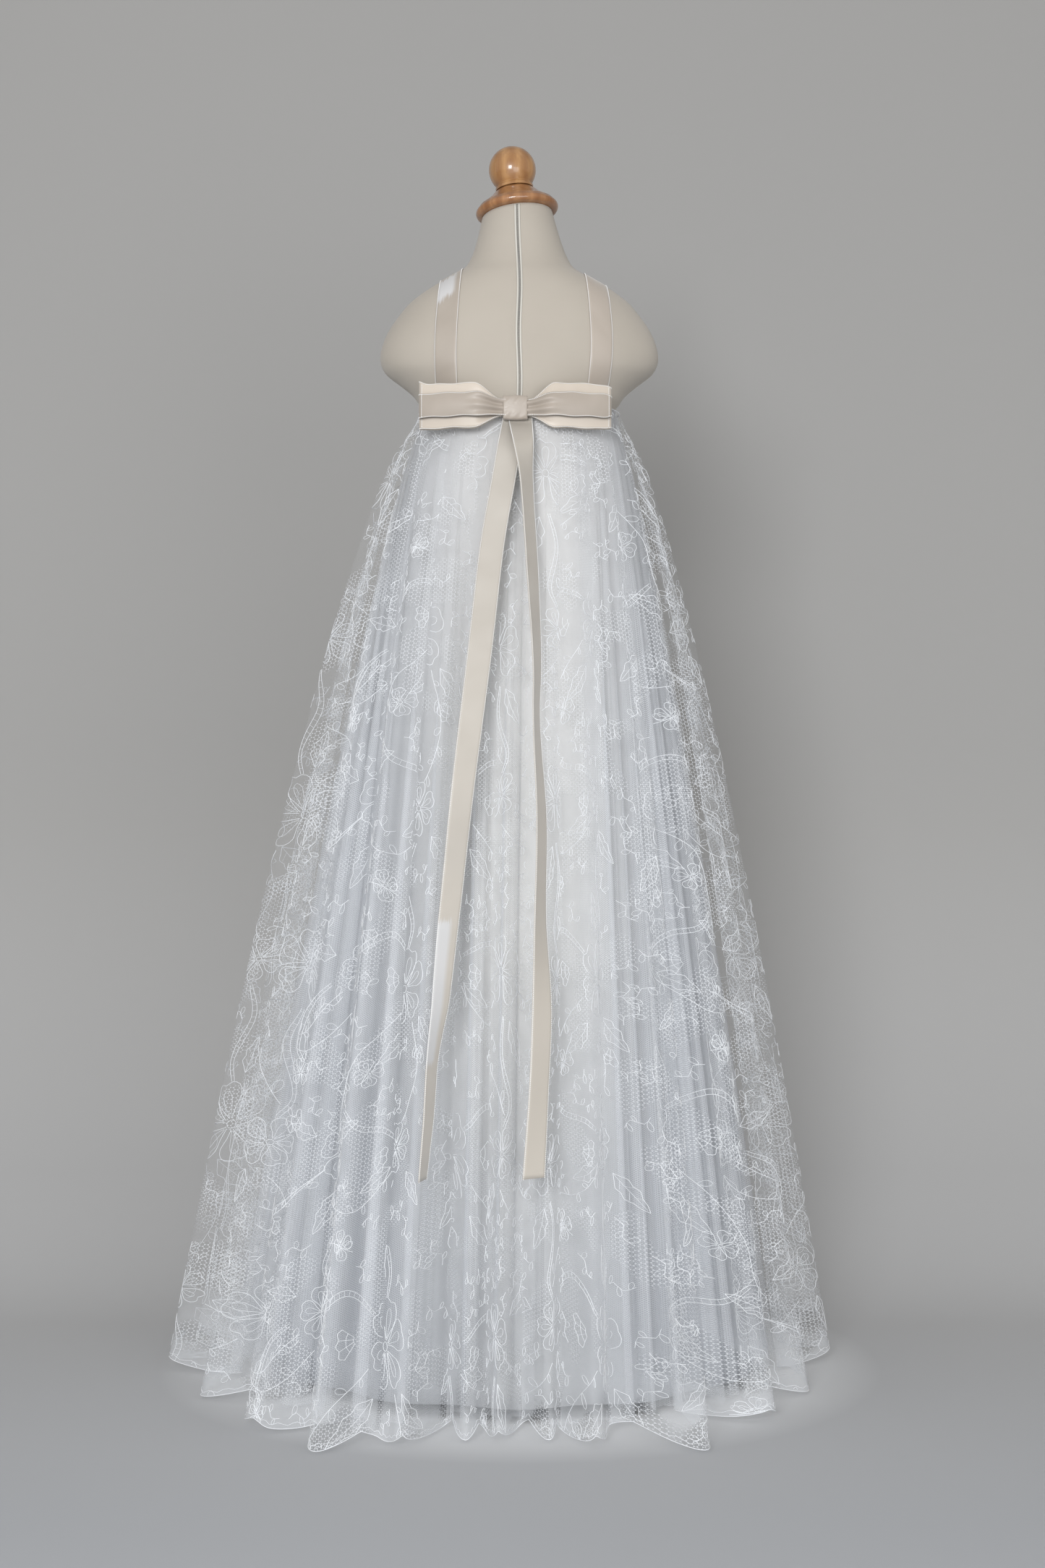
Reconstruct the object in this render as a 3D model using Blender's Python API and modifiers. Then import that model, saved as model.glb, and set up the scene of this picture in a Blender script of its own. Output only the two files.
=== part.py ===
"""Flower girl dress with ribbon straps, a back bow and a gathered lace skirt, on a limbless dress form.

Metres, +Z up. The origin is on the floor, under the middle of the form's base. The back of the
dress faces -Y, its front +Y. Angles round the body are in degrees from the middle of the back,
positive towards +X.
"""

import math
from collections import namedtuple

import bpy
from mathutils import Matrix, Vector

# Driving sizes of the cloth
CLOTH_WALL = 0.0012
RIBBON_WALL = 0.0010
RIBBON_WIDTH = 0.022
SEAM_GAP = 0.0003
CLEAR_OF_FORM = 0.0014

# High waist, where the skirt's layers start
LAYER_TOP = 0.9000
STRAP_FOOT = 0.9010  # where the straps and the bodice stop above the layers
LACE_TOP_HALF_WIDTH = 0.0950
NET_TOP_HALF_WIDTH = 0.0930
LINING_TOP_HALF_WIDTH = 0.0913
CHEST_FLATNESS = 0.0132  # how much less deep than wide the chest is, each half

# Skirt
SWING_TOP_AT_BACK = 0.885  # the cloth hangs straight down to here under the bow
SWING_TOP_AT_SIDES = 0.8985
FLARE_POWER = 0.72
FLARE_START = 0.016
INNER_FLARE = 1.15  # the inner layers swing out later than the lace
HEM_HEIGHT = 0.003
SCALLOP_DEPTH = 0.009
SCALLOPS_PER_FOLD = 1.5
SKIRT_HEM_CENTRE_X = -0.012
NET_HEM_HEIGHT = 0.010
NET_FOLD_DEPTH = 0.55
NET_INSET_AT_HEM = 0.007
LINING_HEM_HEIGHT = 0.022
LINING_HEM_RADIUS = 0.213
LINING_SIDE_FULLNESS = 0.018
LINING_WAVES = 12
LINING_WAVE_DEPTH = 0.005
MOST_GATHER_DEPTH = 0.0014
GATHER_START = 0.022
GATHER_FADE = 0.075
SEAM_STEP = 0.02  # how far along a row, in folds, a seam edge looks to find the row's direction
LACE_COLUMNS_PER_FOLD = 6
NET_COLUMNS_PER_FOLD = 4
LINING_COLUMNS = 44
LACE_ROWS = (LAYER_TOP, 0.892, 0.884, 0.873, 0.850, 0.80, 0.71, 0.58, 0.41, 0.21)
NET_ROWS = (LAYER_TOP, 0.892, 0.884, 0.84, 0.74, 0.55, 0.30)
LINING_ROWS = (LAYER_TOP, 0.892, 0.884, 0.81, 0.62, 0.34)

# One row for each fold of the hem: where it stands out and how far, then the valley after it,
# in degrees and millimetres from the middle of the hem
Fold = namedtuple("Fold", "crest_angle crest_radius valley_angle valley_radius")
HEM_FOLDS = (
    Fold(-163, 300, -155.5, 262),
    Fold(-148, 312, -140.5, 258),
    Fold(-133, 302, -125.5, 262),
    Fold(-118, 318, -110, 264),
    Fold(-102, 314, -94, 262),
    Fold(-84, 318, -74, 252),
    Fold(-63, 303, -52, 270),
    Fold(-41, 330, -33.5, 296),
    Fold(-26, 350, -20.5, 300),
    Fold(-15.5, 312, -11.5, 246),
    Fold(-6.5, 285, -3.8, 258),
    Fold(-1, 288, 3.2, 244),
    Fold(7.5, 284, 10.3, 262),
    Fold(14, 314, 20, 262),
    Fold(28, 350, 36.5, 246),
    Fold(46, 318, 55, 262),
    Fold(66, 300, 79, 258),
    Fold(92, 307, 104, 268),
    Fold(120, 368, 130, 268),
    Fold(140, 318, 148, 262),
    Fold(156, 304, 163, 258),
    Fold(171, 316, 178, 262),
    Fold(186, 298, 191, 262),
)
FOLD_COUNT = len(HEM_FOLDS)
CENTRE_BACK_FOLD = 11
LEFT_SEAM = 4.5
RIGHT_SEAM = 16.5

# Cloth-covered torso, a row for each section, heights and half sizes in metres
Section = namedtuple("Section", "height half_width half_depth lean")
TORSO = (
    Section(0.600, 0.087, 0.069, 0),
    Section(0.606, 0.094, 0.076, 0),
    Section(0.650, 0.099, 0.082, 0),
    Section(0.720, 0.098, 0.081, 0),
    Section(0.800, 0.092, 0.074, 0),
    Section(0.860, 0.0868, 0.0725, 0),
    Section(0.901, 0.0890, 0.0745, 0),
    Section(0.904, 0.0911, 0.0747, 0),
    Section(0.908, 0.0946, 0.0748, 0),
    Section(0.917, 0.101, 0.0760, 0),
    Section(0.927, 0.113, 0.0764, 0),
    Section(0.938, 0.127, 0.0762, 0),
    Section(0.950, 0.132, 0.0755, 0),
    Section(0.964, 0.130, 0.0740, 0),
    Section(0.978, 0.124, 0.0710, 0),
    Section(0.991, 0.115, 0.0670, 0),
    Section(1.004, 0.104, 0.0620, 0),
    Section(1.016, 0.088, 0.0570, 0),
    Section(1.027, 0.069, 0.0515, 0),
    Section(1.036, 0.0535, 0.0460, 0),
    Section(1.047, 0.0460, 0.0415, 0.1),
    Section(1.060, 0.0410, 0.0380, 0.35),
    Section(1.074, 0.0370, 0.0355, 0.7),
    Section(1.0882, 0.0335, 0.0335, 1),
)
TORSO_SIDES = 32

# Turned wooden cap and ball, which lean a little to the left and to the front. The profiles are
# distances from the axis and heights over the cap's centre
CAP_CENTRE = Vector((-0.002, 0.0, 1.093))
CAP_ROLL = math.radians(-6.5)
CAP_PITCH = math.radians(-7.0)
CAP_RADIUS = 0.0393
CAP_RIM = 0.0042
CAP_RIM_HEIGHT = 0.0003
CAP_UNDERSIDE = -0.0045
CAP_UNDERSIDE_RADIUS = 0.0320
CAP_TOP = 0.0207
CAP_TOP_RADIUS = 0.0171
CAP_OGEE = ((0.0183, 0.0167), (0.0225, 0.0108), (0.0290, 0.0068), (0.0345, 0.0050))
COLLAR_RADIUS = 0.0165
COLLAR_NECK = ((0.0161, 0.0262), (COLLAR_RADIUS, 0.0238))
BALL_RADIUS = 0.02135
BALL_HEIGHT = 0.0410
BALL_FOOT_RADIUS = 0.0150
TURNED_STEPS = 22

# Stand
BASE_RADIUS = 0.130
BASE_HEIGHT = 0.016
BASE_EDGE = 0.005
POLE_RADIUS = 0.0125

# Bow
BOW_CENTRE_X = -0.0035
BOW_HEIGHT = 0.8935
BOW_REACH = 0.088
BOW_WRAP = 0.018
BACK_LOOP_WIDTH = 0.041
KNOT_SIZE = 0.0224
KNOT_HEIGHT = 0.891
KNOT_BACK = -0.0886
KNOT_DEPTH = 0.0086
KNOT_CORNER = 0.003
LAYER_PITCH = 0.0014
LOOP_OPENING = 0.0045
LOOP_NECK = 0.0150
LOOP_START = 0.003
LOOP_NECK_END = 0.0115
LOOP_OPENS_OVER = 0.026
LOOP_COLUMNS = 4
LOOP_ROUNDS = 7
PLEAT_DEPTH = 0.0008
PLEAT_PLACE = 0.027
PLEAT_SPREAD = 0.0075

# Tails, a row for each section: height, distance across from the middle, and turn in degrees
TailSection = namedtuple("TailSection", "height across turn")
LEFT_TAIL = (
    TailSection(0.2160, -0.0805, 74),
    TailSection(0.2680, -0.0760, 68),
    TailSection(0.3190, -0.0730, 64),
    TailSection(0.3550, -0.0676, 50),
    TailSection(0.4140, -0.0621, 38),
    TailSection(0.5380, -0.0494, 26),
    TailSection(0.6655, -0.0345, 9),
    TailSection(0.7640, -0.0236, 0),
    TailSection(0.8230, -0.0137, 0),
    TailSection(0.8560, -0.0085, 0),
    TailSection(0.8788, -0.0050, 0),
    TailSection(0.8840, -0.0045, 0),
)
RIGHT_TAIL = (
    TailSection(0.2160, 0.0126, 30),
    TailSection(0.2890, 0.0171, 40),
    TailSection(0.3550, 0.0198, 40),
    TailSection(0.4320, 0.0184, 62),
    TailSection(0.5160, 0.0196, 66),
    TailSection(0.6045, 0.0152, 74),
    TailSection(0.6550, 0.0159, 70),
    TailSection(0.7330, 0.0122, 62),
    TailSection(0.8250, 0.0065, 56),
    TailSection(0.8550, 0.0040, 32),
    TailSection(0.8788, 0.0015, 0),
    TailSection(0.8840, 0.0010, 0),
)
TAIL_STEP = 0.024
TAIL_CLEARANCE = 0.0022
TAIL_TOP_BACK = -0.0851
TAIL_LAYER = 0.0018
TAIL_UNDER_KNOT = 0.8788

# Straps, a row for each place on the way from the back over the shoulder to the front
StrapPlace = namedtuple("StrapPlace", "climb across")
LEFT_STRAP = (
    StrapPlace(-60, -0.0665),
    StrapPlace(0, -0.0680),
    StrapPlace(90, -0.0635),
    StrapPlace(180, -0.0670),
    StrapPlace(240, -0.0670),
)
RIGHT_STRAP = (
    StrapPlace(-60, 0.0700),
    StrapPlace(0, 0.0765),
    StrapPlace(90, 0.0710),
    StrapPlace(180, 0.0690),
    StrapPlace(240, 0.0680),
)
STRAP_STEPS = 34
STRAP_HALF_ACROSS = 0.0105
STRAP_SEAM = 0.0006
SHOULDER_CORE = 0.955
LOWEST_CLIMB = -70
HIGHEST_CLIMB = 60

# Front of the bodice
BODICE_TOP = 0.985
BODICE_NECK_DIP = 0.020
BODICE_NECK_HALF_WIDTH = 0.056
BODICE_TOP_HALF_WIDTH = 0.0800
BODICE_WAIST_ANGLE = 66
BODICE_CLEAR_OF_FORM = 0.00165
BODICE_COLUMNS = 16
BODICE_ROWS = 8


def clear_scene():
    for old in list(bpy.data.objects):
        bpy.data.objects.remove(old)


def collection():
    parts = bpy.data.collections.get("flower_girl_dress")
    if parts is None:
        parts = bpy.data.collections.new("flower_girl_dress")
        bpy.context.scene.collection.children.link(parts)
    return parts


def material(name, colour, roughness, metallic=0.0):
    made = bpy.data.materials.get(name)
    if made is None:
        made = bpy.data.materials.new(name)
        made.use_nodes = True
        shader = made.node_tree.nodes["Principled BSDF"]
        shader.inputs["Base Color"].default_value = (*colour, 1.0)
        shader.inputs["Roughness"].default_value = roughness
        shader.inputs["Metallic"].default_value = metallic
        made.diffuse_color = (*colour, 1.0)
    return made


def lace_cloth():
    return material("white_lace", (0.90, 0.92, 0.96), 0.85)


def net_cloth():
    return material("white_net", (0.88, 0.90, 0.97), 0.9)


def lining_cloth():
    return material("ivory_lining", (0.86, 0.82, 0.74), 0.8)


def ribbon_cloth():
    return material("ivory_satin", (0.87, 0.80, 0.70), 0.4)


def form_cloth():
    return material("cream_linen", (0.82, 0.79, 0.71), 0.9)


def turned_wood():
    return material("honey_wood", (0.62, 0.36, 0.14), 0.25)


def stand_metal():
    return material("stand_steel", (0.55, 0.55, 0.56), 0.35, 1.0)


def place_object(name, mesh, look):
    mesh.materials.append(look)
    mesh.shade_smooth()
    mesh.set_sharp_from_angle(angle=math.radians(40))
    made = bpy.data.objects.new(name, mesh)
    collection().objects.link(made)
    return made


def read_table(rows, key, column, at):
    """A column's value at a place between the rows, on a smooth curve through them."""
    keys = [getattr(row, key) for row in rows]
    values = [getattr(row, column) for row in rows]
    if at <= keys[0]:
        return values[0]
    if at >= keys[-1]:
        return values[-1]
    i = max(n for n, low in enumerate(keys) if low <= at)

    def slope(n):
        before, after = max(n - 1, 0), min(n + 1, len(keys) - 1)
        return (values[after] - values[before]) / (keys[after] - keys[before])

    span = keys[i + 1] - keys[i]
    f = (at - keys[i]) / span
    start = values[i] * (2 * f**3 - 3 * f**2 + 1) + slope(i) * span * (f**3 - 2 * f**2 + f)
    end = values[i + 1] * (3 * f**2 - 2 * f**3) + slope(i + 1) * span * (f**3 - f**2)
    return start + end


def solve(function, low, high):
    """Where a function that rises from below zero to above zero crosses it."""
    for _ in range(40):
        middle = (low + high) / 2
        if function(middle) < 0:
            low = middle
        else:
            high = middle
    return (low + high) / 2


def cloth_panel(name, rows, look, thickness, offset, wraps=False):
    """A wall of cloth through rows of points. The rows run downwards, each from left to right as
    seen from outside."""
    across = len(rows[0])
    points = [point for row in rows for point in row]
    faces = []
    for i in range(len(rows) - 1):
        for j in range(across if wraps else across - 1):
            k = (j + 1) % across
            faces.append((i * across + j, (i + 1) * across + j, (i + 1) * across + k, i * across + k))
    mesh = bpy.data.meshes.new(name)
    mesh.from_pydata(points, [], faces)
    made = place_object(name, mesh, look)
    wall = made.modifiers.new("wall", "SOLIDIFY")
    wall.thickness = thickness
    wall.offset = offset
    return made


def turned(name, profile, look, steps=TURNED_STEPS):
    """A turned piece from its profile, which runs down its outer side from the axis to the axis."""
    mesh = bpy.data.meshes.new(name)
    mesh.from_pydata([(x, 0, z) for x, z in profile], [(n, n + 1) for n in range(len(profile) - 1)], [])
    made = place_object(name, mesh, look)
    screw = made.modifiers.new("turning", "SCREW")
    screw.steps = steps
    screw.render_steps = steps
    screw.use_merge_vertices = True
    screw.merge_threshold = 0.00001
    return made


# Dress form


def torso_size(height):
    half_width = read_table(TORSO, "height", "half_width", height)
    half_depth = read_table(TORSO, "height", "half_depth", height)
    return half_width, half_depth


def cap_turn(share):
    """The lean of the neck and its cap, or a share of it lower down."""
    return Matrix.Rotation(CAP_ROLL * share, 3, "Y") @ Matrix.Rotation(CAP_PITCH * share, 3, "X")


def torso():
    rings = []
    for section in TORSO:
        centre = Vector((CAP_CENTRE.x * section.lean, 0, section.height))
        ring = []
        for n in range(TORSO_SIDES):
            turn = 2 * math.pi * n / TORSO_SIDES
            flat = Vector((section.half_width * math.sin(turn), -section.half_depth * math.cos(turn), 0))
            ring.append(centre + cap_turn(section.lean) @ flat)
        rings.append(ring)
    points = [point for ring in rings for point in ring]
    faces = []
    for i in range(len(rings) - 1):
        for j in range(TORSO_SIDES):
            k = (j + 1) % TORSO_SIDES
            low, high = i * TORSO_SIDES, (i + 1) * TORSO_SIDES
            faces.append((low + j, low + k, high + k, high + j))
    faces.append(tuple(reversed(range(TORSO_SIDES))))
    faces.append(tuple(range(len(points) - TORSO_SIDES, len(points))))
    mesh = bpy.data.meshes.new("form_torso")
    mesh.from_pydata(points, [], faces)
    place_object("form_torso", mesh, form_cloth())


def arc(centre_x, centre_z, radius, start, end, steps):
    """Points on an arc of a profile, angles in degrees from straight out, positive upwards."""
    angles = [math.radians(start + (end - start) * n / steps) for n in range(steps + 1)]
    return [(centre_x + radius * math.cos(a), centre_z + radius * math.sin(a)) for a in angles]


def cap():
    """The flange that closes the neck, with a rounded rim and an ogee up to the ball's collar."""
    profile = [(0, CAP_TOP), (CAP_TOP_RADIUS, CAP_TOP), *CAP_OGEE]
    profile += arc(CAP_RADIUS - CAP_RIM, CAP_RIM_HEIGHT, CAP_RIM, 60, -70, 6)
    profile += [(CAP_UNDERSIDE_RADIUS, CAP_UNDERSIDE), (0, CAP_UNDERSIDE)]
    made = turned("form_cap", profile, turned_wood())
    made.location = CAP_CENTRE
    made.rotation_euler = cap_turn(1).to_euler()


def finial():
    """The ball, with the short collar that it is turned in one piece with."""
    meets = math.degrees(math.acos(BALL_FOOT_RADIUS / BALL_RADIUS))
    profile = [(0, BALL_HEIGHT + BALL_RADIUS)]
    profile += arc(0, BALL_HEIGHT, BALL_RADIUS, 78, -meets, 12)
    profile += [*COLLAR_NECK, (COLLAR_RADIUS, CAP_TOP + SEAM_GAP), (0, CAP_TOP + SEAM_GAP)]
    made = turned("form_finial", profile, turned_wood())
    made.location = CAP_CENTRE
    made.rotation_euler = cap_turn(1).to_euler()


def stand():
    """A flat round foot and a plain pole, both under the skirt."""
    profile = [(0, BASE_HEIGHT), (BASE_RADIUS - BASE_EDGE, BASE_HEIGHT)]
    profile += arc(BASE_RADIUS - BASE_EDGE, BASE_HEIGHT - BASE_EDGE, BASE_EDGE, 60, 0, 2)
    profile += [(BASE_RADIUS, 0), (0, 0)]
    turned("form_base", profile, turned_wood(), 40)
    bottom = BASE_HEIGHT + SEAM_GAP
    top = TORSO[0].height - SEAM_GAP
    profile = [(0, top), (POLE_RADIUS, top), (POLE_RADIUS, bottom), (0, bottom)]
    turned("form_pole", profile, stand_metal(), 20)


# Skirt


def flare(height, hem, angle):
    """How far the cloth has swung out at a height: 0 at the waist and 1 at the hem."""
    side = math.sin(math.radians(angle)) ** 2
    top = SWING_TOP_AT_BACK + (SWING_TOP_AT_SIDES - SWING_TOP_AT_BACK) * side
    drop = max((top - height) / (top - hem), 0)
    return drop**FLARE_POWER * (1 - math.exp(-drop / FLARE_START))


def waist_plan(angle, half_width):
    """Plan of a layer's top edge at an angle in degrees."""
    turn = math.radians(angle)
    return Vector((half_width * math.sin(turn), -(half_width - CHEST_FLATNESS) * math.cos(turn), 0))


def hem_plan(place, depth, inset):
    """Plan of the hem at a place counted in folds: whole numbers are crests, halves are valleys."""
    fold = HEM_FOLDS[math.floor(place) % FOLD_COUNT]
    after = HEM_FOLDS[(math.floor(place) + 1) % FOLD_COUNT]
    part = place - math.floor(place)
    if part < 0.5:
        start, end, part = fold.crest_angle, fold.valley_angle, part * 2
        near, far = fold.crest_radius, fold.valley_radius
        stands_out = (1 + math.cos(math.pi * part)) / 2
    else:
        start, end, part = fold.valley_angle, after.crest_angle, part * 2 - 1
        near, far = after.crest_radius, fold.valley_radius
        stands_out = (1 - math.cos(math.pi * part)) / 2
    if end < start:
        end += 360
    turn = math.radians(start + (end - start) * part)
    radius = (far + (near - far) * depth * stands_out) / 1000 - inset
    return Vector((SKIRT_HEM_CENTRE_X + radius * math.sin(turn), -radius * math.cos(turn), 0))


def top_angle(place):
    return (place - CENTRE_BACK_FOLD) * 360 / FOLD_COUNT


def gather_depth(height):
    """The small gathers under the waist fade out by a hand's breadth below it."""
    below = max(SWING_TOP_AT_BACK - height, 0)
    return MOST_GATHER_DEPTH * min(below / GATHER_START, 1) * math.exp(-((below / GATHER_FADE) ** 2))


def lace_point(place, height):
    column = round(place * LACE_COLUMNS_PER_FOLD)
    angle = top_angle(place)
    waist = waist_plan(angle, LACE_TOP_HALF_WIDTH)
    hem = hem_plan(place, 1.0, 0.0)
    point = waist.lerp(hem, flare(height, HEM_HEIGHT, angle))
    gather = gather_depth(height) * (-1 if column % 2 else 1)
    point += point.normalized() * gather
    return Vector((point.x, point.y, height))


def lace_hem_height(place):
    return HEM_HEIGHT + SCALLOP_DEPTH * (1 - abs(math.cos(math.pi * SCALLOPS_PER_FOLD * place)))


def level_hem(height):
    return lambda place: height


def net_point(place, height):
    angle = top_angle(place)
    waist = waist_plan(angle, NET_TOP_HALF_WIDTH)
    hem = hem_plan(place, NET_FOLD_DEPTH, NET_INSET_AT_HEM)
    point = waist.lerp(hem, flare(height, HEM_HEIGHT, angle) ** INNER_FLARE)
    return Vector((point.x, point.y, height))


def lining_point(place, height):
    angle = top_angle(place)
    turn = math.radians(angle)
    radius = LINING_HEM_RADIUS + LINING_SIDE_FULLNESS * math.sin(turn) ** 2
    radius += LINING_WAVE_DEPTH * math.cos(LINING_WAVES * turn)
    hem = Vector((radius * math.sin(turn), -radius * math.cos(turn), 0))
    swing = flare(height, LINING_HEM_HEIGHT, angle) ** INNER_FLARE
    point = waist_plan(angle, LINING_TOP_HALF_WIDTH).lerp(hem, swing)
    return Vector((point.x, point.y, height))


def seam_edge(layer, place, height, side):
    """A point on a panel's side edge, a seam gap back from the middle of the seam. The side is 1
    where the panel lies after the place and -1 where it lies before it."""
    along = (layer(place + SEAM_STEP * side, height) - layer(place, height)).normalized()
    return layer(place, height) + along * SEAM_GAP


def skirt_panel(name, layer, heights, hem_height, start, end, columns, look):
    rows = []
    for n in range(len(heights) + 1):
        row = []
        for j in range(columns + 1):
            place = start + (end - start) * j / columns
            height = heights[n] if n < len(heights) else hem_height(place)
            if j == 0:
                row.append(seam_edge(layer, place, height, 1))
            elif j == columns:
                row.append(seam_edge(layer, place, height, -1))
            else:
                row.append(layer(place, height))
        rows.append(row)
    return cloth_panel(name, rows, look, CLOTH_WALL, -1)


def skirt():
    """Each layer is a back and a front panel, sewn at the sides."""
    panels = (("back", LEFT_SEAM, RIGHT_SEAM), ("front", RIGHT_SEAM, LEFT_SEAM + FOLD_COUNT))
    for side, start, end in panels:
        folds = end - start
        columns = round(folds * LACE_COLUMNS_PER_FOLD)
        name = f"skirt_lace_{side}"
        skirt_panel(name, lace_point, LACE_ROWS, lace_hem_height, start, end, columns, lace_cloth())
        columns = round(folds * NET_COLUMNS_PER_FOLD)
        name = f"skirt_net_{side}"
        skirt_panel(name, net_point, NET_ROWS, level_hem(NET_HEM_HEIGHT), start, end, columns, net_cloth())
        columns = round(folds * LINING_COLUMNS / FOLD_COUNT)
        name = f"skirt_lining_{side}"
        hem = level_hem(LINING_HEM_HEIGHT)
        skirt_panel(name, lining_point, LINING_ROWS, hem, start, end, columns, lining_cloth())


# Bodice and straps


def shoulder_point(across, climb):
    """Point on the form over or beside the shoulder. The climb is an angle in degrees at the middle
    of the shoulder: 0 is straight back, 90 straight up and 180 straight to the front."""
    turn = math.radians(climb)
    heading = Vector((0, -math.cos(turn), math.sin(turn)))
    core = Vector((across, 0, SHOULDER_CORE))

    def outside(distance):
        point = core + heading * distance
        half_width, half_depth = torso_size(point.z)
        return (point.x / half_width) ** 2 + (point.y / half_depth) ** 2 - 1

    distance = solve(outside, 0, 0.12)
    return core + heading * (distance + CLEAR_OF_FORM)


def strap(name, places):
    """A ribbon from the back of the waist, over the shoulder, to the front of the bodice."""

    def climb_to(across, height, front):
        """The climb at which a strap's line meets a height, on the back or on the front."""

        def over(climb):
            return shoulder_point(across, 180 - climb if front else climb).z - height

        climb = solve(over, LOWEST_CLIMB, HIGHEST_CLIMB)
        return 180 - climb if front else climb

    rows = []
    edges = (-STRAP_HALF_ACROSS, 0, STRAP_HALF_ACROSS)
    starts = [climb_to(places[0].across + edge, STRAP_FOOT, False) for edge in edges]
    ends = [climb_to(places[-1].across + edge, BODICE_TOP + STRAP_SEAM, True) for edge in edges]
    for n in range(STRAP_STEPS + 1):
        part = n / STRAP_STEPS
        row = []
        for edge, start, end in zip(edges, starts, ends):
            climb = start + (end - start) * part
            across = read_table(places, "climb", "across", climb)
            row.append(shoulder_point(across + edge, climb))
        rows.append(row)
    cloth_panel(name, list(reversed(rows)), ribbon_cloth(), RIBBON_WALL, 1)


def bodice_front():
    """The plain front panel between the skirt and the straps, with a dipped neck."""
    rows = []
    for n in range(BODICE_ROWS + 1):
        up = 1 - n / BODICE_ROWS
        row = []
        for j in range(BODICE_COLUMNS + 1):
            side = 1 - 2 * j / BODICE_COLUMNS
            neck = min(abs(side) * BODICE_TOP_HALF_WIDTH / BODICE_NECK_HALF_WIDTH, 1)
            top = BODICE_TOP - BODICE_NECK_DIP * (1 + math.cos(math.pi * neck)) / 2
            height = STRAP_FOOT + (top - STRAP_FOOT) * up
            half_width, half_depth = torso_size(height)
            edge_angle = math.degrees(math.asin(BODICE_TOP_HALF_WIDTH / half_width))
            reach = BODICE_WAIST_ANGLE + (edge_angle - BODICE_WAIST_ANGLE) * math.sin(math.pi * up / 2)
            turn = math.radians(side * reach)
            x = (half_width + BODICE_CLEAR_OF_FORM) * math.sin(turn)
            y = (half_depth + BODICE_CLEAR_OF_FORM) * math.cos(turn)
            row.append(Vector((x, y, height)))
        rows.append(row)
    cloth_panel("bodice_front", rows, ribbon_cloth(), RIBBON_WALL, 1)


# Bow


def bow_loop(name, side, width, height, layer):
    """A flattened loop of ribbon, gathered to a neck in the knot. Its place there is counted in
    layers, and a loop on top of another is carried further out where that one opens."""
    end = BOW_REACH - LOOP_OPENING / 2
    flat = [LOOP_START + (end - LOOP_START) * n / (LOOP_ROUNDS - 1) for n in range(LOOP_ROUNDS)]
    turns = [math.pi * n / 4 for n in range(1, 4)]
    path = [(out, 0) for out in flat]
    path += [(end + LOOP_OPENING / 2 * math.sin(turn), (1 - math.cos(turn)) / 2) for turn in turns]
    path += [(out, 1) for out in reversed(flat)]
    back = KNOT_BACK - RIBBON_WALL * 1.5 - SEAM_GAP * 1.5 - layer * LAYER_PITCH
    rows = []
    for out, front in path:
        opened = min(max((out - LOOP_NECK_END) / LOOP_OPENS_OVER, 0), 1)
        opened = opened * opened * (3 - 2 * opened)
        half = LOOP_NECK / 2 + (width - LOOP_NECK) / 2 * opened
        pleat = PLEAT_DEPTH * math.exp(-(((out - PLEAT_PLACE) / PLEAT_SPREAD) ** 2))
        depth = (LAYER_PITCH + LOOP_OPENING * opened) * front
        if layer > 0:
            depth += LOOP_OPENING * opened + pleat
        wrap = BOW_WRAP * (max(out - KNOT_SIZE / 2, 0) / (BOW_REACH - KNOT_SIZE / 2)) ** 2
        row = []
        for j in range(LOOP_COLUMNS + 1):
            across = 1 - 2 * j / LOOP_COLUMNS
            x = BOW_CENTRE_X + side * out
            y = back + wrap - depth + pleat * round(front) * (1 - 2 * (j % 2))
            z = KNOT_HEIGHT + (height - KNOT_HEIGHT) * opened + half * across
            row.append(Vector((x, y, z)))
        rows.append(row)
    cloth_panel(name, rows, ribbon_cloth(), RIBBON_WALL, 0)


def knot():
    """The short ribbon wrapped round the middle of the bow."""
    half = KNOT_SIZE / 2
    centre_y = KNOT_BACK - KNOT_DEPTH / 2
    outline = []
    for sign_y, sign_z, start in ((1, 1, 0), (-1, 1, 90), (-1, -1, 180), (1, -1, 270)):
        for n in range(4):
            turn = math.radians(start + 30 * n)
            outline.append(
                (
                    centre_y + sign_y * (KNOT_DEPTH / 2 - KNOT_CORNER) + KNOT_CORNER * math.cos(turn),
                    KNOT_HEIGHT + sign_z * (half - KNOT_CORNER) + KNOT_CORNER * math.sin(turn),
                )
            )
    rows = []
    for n in range(4):
        x = BOW_CENTRE_X + half - KNOT_SIZE * n / 3
        rows.append([Vector((x, y, z)) for y, z in outline])
    cloth_panel("bow_knot", rows, ribbon_cloth(), RIBBON_WALL, -1, wraps=True)


def bow():
    for side, word in ((-1, "left"), (1, "right")):
        bow_loop(f"bow_back_{word}", side, BACK_LOOP_WIDTH, BOW_HEIGHT, 0)
        bow_loop(f"bow_front_{word}", side, RIBBON_WIDTH, BOW_HEIGHT, 2)
    knot()


# Tails


def skirt_reach(x, height):
    """How far the lace stands out to the back at a place across and a height."""
    columns = 4 * LACE_COLUMNS_PER_FOLD
    reach = 0
    for n in range(-columns, columns):
        left = lace_point(CENTRE_BACK_FOLD + n / LACE_COLUMNS_PER_FOLD, height)
        right = lace_point(CENTRE_BACK_FOLD + (n + 1) / LACE_COLUMNS_PER_FOLD, height)
        low, high = sorted((left, right), key=lambda point: point.x)
        if low.x <= x <= high.x:
            part = (x - low.x) / max(high.x - low.x, 1e-9)
            reach = max(reach, -(low.y + (high.y - low.y) * part))
    return reach


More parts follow.
